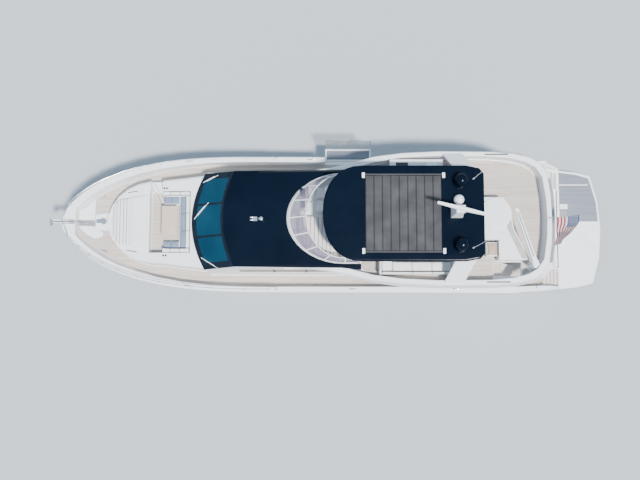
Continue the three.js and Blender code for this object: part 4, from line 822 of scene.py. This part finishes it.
# Guard rail and cleats. Welded polished tube stands on the bulwark cap round the bow, and cast horn cleats
# are bolted to the fore deck and the cap.
def cleat(name, x, y, z, turn=0.0):
    """Horn cleat: a bar tapered towards its ends over two short legs."""
    c, s = math.cos(turn), math.sin(turn)
    bar = [(x + c * u, y + s * u, z + 0.075 + 0.02 * abs(u)) for u in np.linspace(-0.17, 0.17, 11)]
    parts = [pipe("horn", bar, 0.008 + 0.014 * np.sqrt(1 - np.linspace(-0.97, 0.97, 11) ** 2), 12)]
    for u in (-0.06, 0.06):
        parts.append(pipe("leg", [(x + c * u, y + s * u, z), (x + c * u, y + s * u, z + 0.07)], 0.016, 12))
    fitted(merged(name, parts), steel)


inboard, rail_up = 0.12, 0.45
x = np.linspace(3.1, 12.6, 60)
port = np.c_[x, sheer_y(x) - inboard, sheer_z(x) + rail_up]
foot_y, foot_z = float(sheer_y(2.95)) - inboard, float(sheer_z(2.95))
first_post = [(2.95, foot_y, foot_z), (2.955, foot_y, foot_z + 0.2), (2.985, foot_y, foot_z + 0.38)]
port = np.vstack([first_post, port])
bow = [(12.76, 0.30, 4.06), (12.85, 0.18, 4.065), (12.895, 0.06, 4.07)]
bow += [(x, -y, z) for x, y, z in reversed(bow)]
bars = [pipe("top_rail", np.vstack([port, bow, port[::-1] * (1, -1, 1)]), 0.017)]
for x in (12.6, 12.2, 11.7, 11.1, 10.4, 9.5, 8.5, 7.3, 6.0, 4.5, 3.2):
    for side in (1, -1):
        y, z = side * (float(sheer_y(x)) - inboard), float(sheer_z(x))
        bars.append(pipe("stanchion", [(x, y, z - 0.02), (x, y, z + rail_up)], 0.013, 10))
        bars.append(pipe("flange", [(x, y, z - 0.015), (x, y, z + 0.012)], 0.034, 16))
fitted(merged("guard_rail_bars", bars), steel, replaces="guard_rail")
for label, side in flanks:
    cleat(f"cleat_bow_{label}", 11.17, side * 1.3, 2.862, -side * 0.35)
    middle_x = -0.6 if side > 0 else 1.4
    for place, x, lean in [("fore", 7.1, -0.28), ("middle", middle_x, 0.0), ("aft", -5.5, 0.0)]:
        y, z = side * (float(sheer_y(x)) - 0.14), float(sheer_z(x)) + 0.001
        cleat(f"cleat_{place}_{label}", x, y, z, side * lean)


# Fly bridge helm. The console is a moulding with two glossy displays, a row of switches and a throttle on its
# slope; the wheel has a leather rim, and two seats stand on steel pedestals behind it.
def plate(name, centre, u, v, wide, tall, thick, corner=0.02):
    """Flat plate with round corners, square to the product of the directions u and v and thick along it."""
    a = np.linspace(0, np.pi / 2, 5)
    turns = np.concatenate([a, a + np.pi / 2, a + np.pi, a + 1.5 * np.pi])
    signs = np.repeat([(1, 1), (-1, 1), (-1, -1), (1, -1)], 5, axis=0)
    ring = signs * (wide / 2 - corner, tall / 2 - corner) + corner * np.c_[np.cos(turns), np.sin(turns)]
    u, v = (np.asarray(w, float) / np.linalg.norm(w) for w in (u, v))
    low = np.asarray(centre, float) + ring[:, :1] * u + ring[:, 1:] * v
    made = prism(name, low, low + np.cross(u, v) * thick)
    eased(made, min(0.002, thick / 3))
    return made


ahead, aport, uphill, upright = (1, 0, 0), (0, 1, 0), (0.943, 0, 0.333), (0, 0, 1)
for label, y in [("starboard", -1.15), ("centre", -0.65)]:
    screen = plate(f"display_{label}", (1.738, y, 5.0231), aport, uphill, 0.40, 0.24, 0.012)
    fitted(screen, dark_glass)
keys = []
for y in np.arange(-1.32, -0.45, 0.075):
    keys.append(plate("key", (1.60, y, 4.9741), aport, uphill, 0.03, 0.03, 0.008, 0.006))
fitted(merged("switch_row", keys), rubber)
lever = [pipe("lever", [(1.86, -0.42, 5.066), (1.83, -0.42, 5.19)], [0.012, 0.018], 12)]
lever.append(pipe("base", [(1.86, -0.42, 5.05), (1.857, -0.42, 5.085)], 0.04, 16))
fitted(merged("throttle", lever), steel)
skin("fly_wheel", leather, 0.0, 50)
for label, y in [("starboard", -1.18), ("centre", -0.56)]:
    stand = [pipe("column", [(0.85, y, 4.32), (0.85, y, 4.74)], 0.055, 24)]
    stand.append(pipe("foot", [(0.85, y, 4.301), (0.85, y, 4.33)], 0.19, 32))
    stand.append(plate("pan", (0.86, y, 4.735), ahead, aport, 0.46, 0.50, 0.03, 0.05))
    fitted(merged(f"seat_stand_{label}", stand), steel)
    solid, y0, y1 = "helm_seat_" + label, y - 0.265, y + 0.265
    cushion(solid + "_pad", oblong(0.715, 1.115, y0, y1), 4.766, 4.885, vinyl, replaces=solid)
    cushion(solid + "_back", oblong(0.565, 0.70, y0, y1), 4.766, 5.43, vinyl, replaces=solid)


# Wind deflector. A curved strip of lightly smoked glass stands on the fly console's surround between pale
# posts, under a cap rail of white-painted round tube. Its lilac tint is smoke in part and in part painted
# shade on what lies under it.
curved = 0.82


def on_deflector(turn, z, grow):
    """Point on the deflector: a quarter ellipse to either side that shrinks with height, and straight aft.

    The turn runs from -1 at the aft end to starboard to 1 at the aft end to port, and the ellipse takes up
    the curved share of it.
    """
    t = (z - 4.88) / 0.74
    front, half = 2.48 - 0.86 * t + grow + 0.1, 2.08 - 0.18 * t + grow
    a = np.clip(turn / curved, -1, 1) * np.pi / 2
    straight = np.clip((np.abs(turn) - curved) / (1 - curved), 0, 1) * 0.6
    return np.stack([-0.1 + front * np.cos(a) - straight, half * np.sin(a), z + 0 * turn], -1)


turn, z = np.linspace(-1, 1, 101)[:, None], np.linspace(4.9906, 5.619, 8)[None, :]
# Partly painted shade: the glass is tinted lilac so that what lies under it looks shaded.
smoke_and_shade_glass = glass("smoked_glass_and_painted_shade", (0.30, 0.25, 0.36), (0.36, 0.31, 0.42), 0.42)
pane = shell("deflector_glass", on_deflector(turn + 0 * z, z + 0 * turn, -0.020), 0.010)
fitted(pane, smoke_and_shade_glass, replaces="fly_screen")
posts = []
for turn in np.linspace(-0.84, 0.84, 9):
    wide = np.linspace(-0.008, 0.008, 3)[:, None]
    grid = on_deflector(turn + wide + 0 * z, z + 0 * wide, -0.012)
    posts.append(shell("post", grid, 0.026))
fitted(merged("deflector_posts", posts), gelcoat, replaces="fly_screen")
rail = on_deflector(np.linspace(-1, 1, 101), np.full(101, 5.636), -0.025)
fitted(pipe("deflector_rail", rail, 0.020, 16), gelcoat, replaces="fly_screen_rail")


# Fly bridge furniture. Moulded bases carry vinyl cushions: a lounge beside the helm, and a U sofa under the
# hardtop with a varnished table. A bar has a round end and a stool seat, with a grey strip across it that is
# painted shadow of the crane boom, and a galley unit has a hob and a sink.
def turned(name, x, y, profile, sides=48):
    """Body of revolution about an upright line, its profile of radius and height run through by a curve.

    The curve is a cubic between each two points, whose slope at a point is that from the last to the next.
    """
    p = np.asarray(profile, float)
    p = np.vstack([p[:1], p, p[-1:]])
    s = np.linspace(0, 1, 7)[:-1, None]
    parts = [
        0.5 * (2 * b + (c - a) * s + (2 * a - 5 * b + 4 * c - d) * s ** 2 + (3 * b - a - 3 * c + d) * s ** 3)
        for a, b, c, d in zip(p[:-3], p[1:-2], p[2:-1], p[3:])
    ]
    line = np.maximum(np.vstack([*parts, p[-1:]]), (1e-4, -1e9))
    a = np.linspace(0, 2 * np.pi, sides, endpoint=False)[None]
    rings = np.stack([x + line[:, :1] * np.cos(a), y + line[:, :1] * np.sin(a), line[:, 1:] + 0 * a], -1)
    faces = grid_faces(len(line), sides, True)[:, [0, 3, 2, 1]]
    first, last = np.arange(sides)[::-1], np.arange(sides) + (len(line) - 1) * sides
    made = put(name, rings, [*faces, first, last])
    made.data.set_sharp_from_angle(angle=math.radians(50))
    return made


base, seat_z, sofa_back, bar_top, galley_top = fly_sole + 0.0006, 4.60, 5.02, 5.0, 5.18
cream_vinyl = upholstery("cream_vinyl", (0.74, 0.70, 0.68), (0.66, 0.62, 0.62))
lounge = [(0.305, -0.145), (1.985, -0.145), (1.985, 0.60), (1.70, 1.145), (1.25, 1.63), (0.305, 1.75)]
slab("lounge_base", lounge, base, seat_z, gelcoat, edge=0.02, replaces="fly_lounge")
bands = [(0, 0.50 + 0.18 * i) for i in range(9)]
cushion("lounge_pad", lounge, seat_z + 0.002, 4.74, cream_vinyl, seams=bands, replaces="fly_lounge")
sofa_plan = [(-5.59, 0.91), (-5.01, 0.91), (-5.01, 1.96), (-2.29, 1.96)]
sofa_plan += [(-2.29, 0.91), (-1.71, 0.91), (-1.71, 2.54), (-5.59, 2.54)]
slab("sofa_base", sofa_plan, base, seat_z, gelcoat, edge=0.02, replaces="fly_sofa")
for name, plan, high, seams in [
    ("seat_side", oblong(-4.995, -2.305, 1.955, 2.425), 4.735, [(0, -4.1), (0, -3.2)]),
    ("seat_aft", oblong(-5.475, -5.0, 0.905, 2.425), 4.735, [(1, 1.7)]),
    ("seat_fore", oblong(-2.30, -1.825, 0.905, 2.425), 4.735, [(1, 1.7)]),
    ("back_side", oblong(-5.475, -1.825, 2.435, 2.545), sofa_back, [(0, -4.1), (0, -3.2)]),
    ("back_aft", oblong(-5.595, -5.485, 0.905, 2.545), sofa_back, [(1, 1.7)]),
    ("back_fore", oblong(-1.815, -1.705, 0.905, 2.545), sofa_back, [(1, 1.7)]),
]:
    cushion("sofa_" + name, plan, seat_z + 0.002, high, vinyl, seams=seams, replaces="fly_sofa", **thin)
varnished = teak("varnished_teak", (0.42, 0.24, 0.12), (0.32, 0.17, 0.08), (0.10, 0.06, 0.04), 0.12, 0.03)
skin("fly_table", varnished, 0.006)
tan_vinyl = upholstery("tan_vinyl", (0.42, 0.31, 0.23), (0.36, 0.26, 0.19))
cushion("stool_pad", oblong(-7.10, -6.59, 1.10, 1.71), 4.7606, 4.85, tan_vinyl)
# Painted shadow: a grey strip on the bar, parallel to the crane boom and beside it, where the boom's shadow
# falls.
boom_shadow_grey = finish("painted_boom_shadow", (0.46, 0.44, 0.42), (0.38, 0.37, 0.36), 0.8, size=3, grain=220, relief=0.4)
boom_shadow_plan = [(-7.40, -0.30), (-7.60, -0.30), (-7.75, 0.50), (-8.42, 1.85), (-8.12, 1.85), (-7.50, 0.50)]
slab("bar_boom_shadow", boom_shadow_plan, bar_top + film, bar_top + 0.010, boom_shadow_grey)
rim = [(0.60, 0.0004), (0.70, 0.006), (0.72, 0.025), (0.70, 0.044), (0.60, 0.05), (0, 0.052)]
round_top = np.array(rim) + (0, bar_top)
fitted(turned("bar_round_top", -6.98, -0.20, round_top, 72), gelcoat)
hob = plate("hob", (-2.75, -2.3, galley_top + film), ahead, aport, 0.55, 0.42, 0.008)
fitted(hob, dark_glass)
sink = plate("sink", (-4.1, -2.3, galley_top + film), ahead, aport, 0.50, 0.40, 0.006, 0.05)
fitted(sink, steel)


# Hardtop roof. One sheet of dark grey canvas is stretched over nine battens in the opening of the hardtop and
# scallops a little between them, with painted shade darkening it where it is tucked down at each batten,
# black tracks along its sides and white brackets at its corners.
roof_aft, roof_fore, roof_half, pitch, hardtop_z = -4.332, -1.018, 1.652, 0.36822, 6.62
x, y = np.linspace(roof_aft, roof_fore, 145)[:, None], np.linspace(-roof_half, roof_half, 61)[None, :]
panel = (x - roof_aft) / pitch % 1
fill = np.clip(1 - np.abs(2 * panel - 1) ** 7, 0, 1) * (1 - np.abs(y / roof_half) ** 14)
roof = np.stack([x + 0 * y, y + 0 * x, 6.577 + 0.024 * fill + 0 * x], -1)
cover = put("sunroof_fabric", roof, grid_faces(145, 61))
canvas, worn_canvas = (0.048, 0.048, 0.052), (0.040, 0.040, 0.044)
woven = finish("roof_canvas", canvas, worn_canvas, 0.85, size=1.5, grain=320, relief=0.35)
tree, colour, plain = overlaid(woven)
along = maths(tree, "SUBTRACT", object_place(tree)[0], roof_aft)
share = maths(tree, "FRACT", maths(tree, "DIVIDE", along, pitch))
beside = maths(tree, "ABSOLUTE", maths(tree, "SUBTRACT", share, 0.5))
# Painted shade: the canvas turns near black in the crease at each batten.
batten_crease_shade = add_node(tree, "ShaderNodeMapRange", [("Value", beside), ("From Min", 0.39), ("From Max", 0.48)])
tree.links.new(blend(tree, batten_crease_shade.outputs[0], plain, (0.012, 0.012, 0.014, 1)), colour)
fitted(cover, woven, replaces="sunroof")
for label, side in flanks:
    at = (-2.67, side * 1.70, hardtop_z + film)
    fitted(plate(f"roof_track_{label}", at, ahead, aport, 3.5, 0.05, 0.012, 0.01), rubber)
    for end, x in [("fore", -0.93), ("aft", -4.43)]:
        at = (x, side * 1.66, hardtop_z + film)
        bracket = plate(f"roof_bracket_{end}_{label}", at, ahead, aport, 0.12, 0.24, 0.02, 0.015)
        fitted(bracket, gelcoat)


# Domes, aerials, horns and searchlight. The domes are glossy navy mouldings on the hardtop; the whips are
# tapered glass fibre in short sockets, and the steel searchlight and horns stand on the forward roof.
dome = [(0.8, 0), (0.93, 0.2), (1, 0.6), (0.98, 1.05), (0.8, 1.55), (0.45, 1.85), (0.15, 1.94), (0, 1.95)]
dome = np.array(dome) * 0.31 + (0, hardtop_z + 0.0003)
for label, side in flanks:
    made = turned(f"dome_{label}_shell", -5.15, side * 1.4, dome)
    fitted(made, navy, replaces="dome_" + label)
for label, foot, tip in [
    ("starboard", (-5.71, -1.49, 6.60), (-6.05, -1.72, 8.0)),
    ("port", (-5.66, 1.53, 6.60), (-5.95, 1.39, 8.0)),
]:
    s = np.linspace(0, 1, 12)[:, None]
    path = np.array(foot) * (1 - s) + np.array(tip) * s
    whip = pipe("whip", path, 0.014 - 0.009 * s[:, 0], 10)
    socket = pipe("socket", path[:2] - (0, 0, 0.01), 0.026, 16)
    fitted(merged(f"whip_{label}", [whip, socket]), gelcoat)
lamp_y = 0.04
lens = [turned("drum", 3.62, lamp_y, [(0.09, 4.90), (0.10, 4.95), (0.10, 5.06), (0.07, 5.11), (0, 5.12)], 32)]
lens.append(plate("lens", (3.71, lamp_y, 5.02), aport, upright, 0.13, 0.11, 0.02, 0.05))
for y in (lamp_y - 0.06, lamp_y + 0.06):
    s = np.linspace(0, 1, 10)
    lens.append(pipe("trumpet", np.c_[3.78 + 0.34 * s, y + 0 * s, 4.985 + 0 * s], 0.014 + 0.036 * s ** 3, 20))
lens.append(plate("horn_foot", (3.9, lamp_y, 4.93), ahead, aport, 0.2, 0.2, 0.03, 0.03))
fitted(merged("searchlight_and_horns", lens), steel)


# Crane. A white boom with a grey sheave slot along its top swings on a column by the port coaming, and a
# short hook hangs from a block at its tip.
way = np.array([0.83, -2.52, 0.0]) / np.hypot(0.83, 2.52)
beside = np.array([-way[1], way[0], 0.0])
root = np.array([-8.65, 2.15, 5.5304])
slot = plate("boom_slot", root + way * 1.42, way, beside, 2.1, 0.055, 0.006, 0.01)
fitted(slot, grip, "crane_boom")
tip = root + way * 2.58
block = [plate("block", tip + (0, 0, -0.18) - beside * 0.03, way, upright, 0.12, 0.12, 0.06, 0.04)]
a = np.linspace(0.5 * np.pi, -1.1 * np.pi, 16)
bend = np.c_[0.035 * np.cos(a), np.zeros(16), 0.035 * np.sin(a)]
hook = tip + (0, 0, -0.32) + bend[:, :1] * way + bend[:, 2:] * upright
block.append(pipe("hook", np.vstack([tip + (0, 0, -0.22), hook]), 0.010, 10))
fitted(merged("boom_block", block), steel, "crane_boom")


# Coamings and transom. A dark grey band crosses the fly deck's after lip, thin dark strips lie on the coaming
# tops, and moulded fairlead boxes stand on the quarters.
y, t = np.linspace(-1.96, 1.96, 31)[:, None], np.linspace(0.1, 0.93, 3)[None, :]
low = np.interp(np.abs(y), [0, 1.18, 2.18], [-9.92, -9.88, -9.72])
high = np.interp(np.abs(y), [0, 1.2, 2.2], [-9.64, -9.6, -9.45])
band = np.stack([low * (1 - t) + high * t - 0.005, y + 0 * t, 4.06 + 0.24 * t + 0 * y + 0.004], -1)
fitted(shell("dark_lip_band", band, 0.005, True), grip)
for label, side in flanks:
    at = (-7.05, side * 2.905, 5.0502)
    fitted(plate(f"coaming_dark_strip_{label}", at, ahead, aport, 1.08, 0.06, 0.003, 0.028), rubber)
    low, high = sorted([side * 2.93, side * 3.09])
    slab(f"fairlead_box_{label}", oblong(-9.94, -9.33, low, high), 2.03, 2.60, gelcoat, edge=0.03)


# Balcony. Its deck of teak, coloured a dark blue-grey as painted shade, folds down from the bulwark, and its
# rail is two loops of polished tube that lean outwards, with a clear glass pane in each.
foot_y, foot_z, lean, tall = -3.74, 2.135, -0.26, 0.96
# Painted shade: the balcony deck's teak is the dark blue-grey of the platform's.
slab("balcony_teak", oblong(-1.44, 0.64, -3.68, -3.24), 2.1004, 2.107, grey_and_shade_teak, body="balcony")
clear = glass("balcony_glass", (0.20, 0.27, 0.29), (0.28, 0.34, 0.36), 0.3)
bars = [pipe("bottom_bar", [(-1.475, foot_y, foot_z), (0.675, foot_y, foot_z)], 0.016)]
for label, x0, x1 in [("aft", -1.465, -0.44), ("fore", -0.36, 0.665)]:
    corners = [(x, foot_y + lean * h, foot_z + h) for x, h in [(x0, 0), (x0, tall), (x1, tall), (x1, 0)]]
    bars.append(pipe("loop", rounded(corners, 0.09), 0.016))
    middle = ((x0 + x1) / 2, foot_y + lean * 0.51 - 0.005, foot_z + 0.51)
    pane = plate(f"balcony_pane_{label}", middle, ahead, (0, lean, 1), x1 - x0 - 0.05, 0.86, 0.010, 0.05)
    fitted(pane, clear, "balcony_rail", "balcony_rail")
fitted(merged("balcony_bars", bars), steel, "balcony_rail", "balcony_rail")


# Cockpit sofa and table. A moulded bench runs across the after end of the cockpit, under the fly deck, with
# white seats and backs that turn forward at its ends; the table ahead of it is varnished teak.
skin("cockpit_table", varnished, 0.006)
aft_x, seat_x, fore_x, wide, seat_top, back_top = -9.595, -9.395, -8.785, 1.795, 2.545, 2.86
bench = oblong(aft_x, fore_x, -wide, wide)
slab("cockpit_bench", bench, 2.1126, 2.42, gelcoat, edge=0.02, replaces="cockpit_sofa")
for name, plan, high in [
    ("seat_port", oblong(seat_x, fore_x, 0.56, 1.645), seat_top),
    ("seat_middle", oblong(seat_x, fore_x, -0.55, 0.55), seat_top),
    ("seat_starboard", oblong(seat_x, fore_x, -1.645, -0.56), seat_top),
    ("back", oblong(aft_x, -9.405, -wide, wide), back_top),
    ("arm_port", oblong(seat_x, fore_x, 1.655, wide), back_top),
    ("arm_starboard", oblong(seat_x, fore_x, -wide, -1.655), back_top),
]:
    cushion("cockpit_" + name, plan, 2.422, high, vinyl, replaces="cockpit_sofa", **thin)


# Ensign. Sewn woven cloth, hoisted on the raked staff at the fly deck's after end and hanging in folds that
# grow towards its fly. Stripes run along it, and a blue canton with white spots is set in its upper hoist.
def smooth_share(t):
    """Cubic ease of a share between 0 and 1."""
    t = np.clip(t, 0, 1)
    return t * t * (3 - 2 * t)


away, up = np.linspace(0, 1, 81)[:, None], np.linspace(0, 1, 41)[None, :]
(x0, z0), (x1, z1) = (-9.6625, 5.3675), (-10.4185, 6.1667)
hoist, hang = math.hypot(x1 - x0, z1 - z0), smooth_share((away - 0.2) / 0.8)
wave = -0.045 * away * (1 + np.sin(12 * away)) + 0.012 * away * np.sin(9 * up + 4 * away)
cloth_x = x0 + (x1 - x0) * up * (1 - 0.95 * hang) + wave - 0.004
cloth_z = z0 - 0.64 * away ** 1.2 + up * ((z1 - z0) * (1 - hang) + hoist * hang)
flag = np.stack([cloth_x, 0.0393 + 1.2 * away + 0 * up, cloth_z], -1)
quads = grid_faces(81, 41)
ensign = put("ensign_cloth", flag, quads)
lay = ensign.data.uv_layers.new(name="weave")
laid = np.stack([away + 0 * up, up + 0 * away], -1).reshape(-1, 2)
lay.data.foreach_set("uv", laid[quads.ravel()].ravel())
bunting = finish("bunting", (0.80, 0.79, 0.77), (0.72, 0.71, 0.70), 0.8, size=3, grain=300, relief=0.25)
tree, colour, plain = overlaid(bunting)
weave = add_node(tree, "ShaderNodeUVMap", uv_map="weave").outputs[0]
u, v = add_node(tree, "ShaderNodeSeparateXYZ", [(0, weave)]).outputs[:2]
striped = maths(tree, "LESS_THAN", maths(tree, "FRACT", maths(tree, "MULTIPLY", v, 6.5)), 0.5)
canton = maths(tree, "MULTIPLY", maths(tree, "LESS_THAN", u, 0.4), maths(tree, "GREATER_THAN", v, 6 / 13))
du = maths(tree, "SUBTRACT", maths(tree, "FRACT", maths(tree, "MULTIPLY", u, 15.0)), 0.5)
dv = maths(tree, "SUBTRACT", maths(tree, "FRACT", maths(tree, "MULTIPLY", v, 9.3)), 0.5)
radius = maths(tree, "ADD", maths(tree, "MULTIPLY", du, du), maths(tree, "MULTIPLY", dv, dv))
red, blue, pale = (0.42, 0.03, 0.05, 1), (0.03, 0.05, 0.16, 1), (0.8, 0.8, 0.8, 1)
stripes = blend(tree, striped, plain, red)
field = blend(tree, maths(tree, "LESS_THAN", radius, 0.06), blue, pale)
tree.links.new(blend(tree, canton, stripes, field), colour)
fitted(ensign, bunting, replaces="ensign")
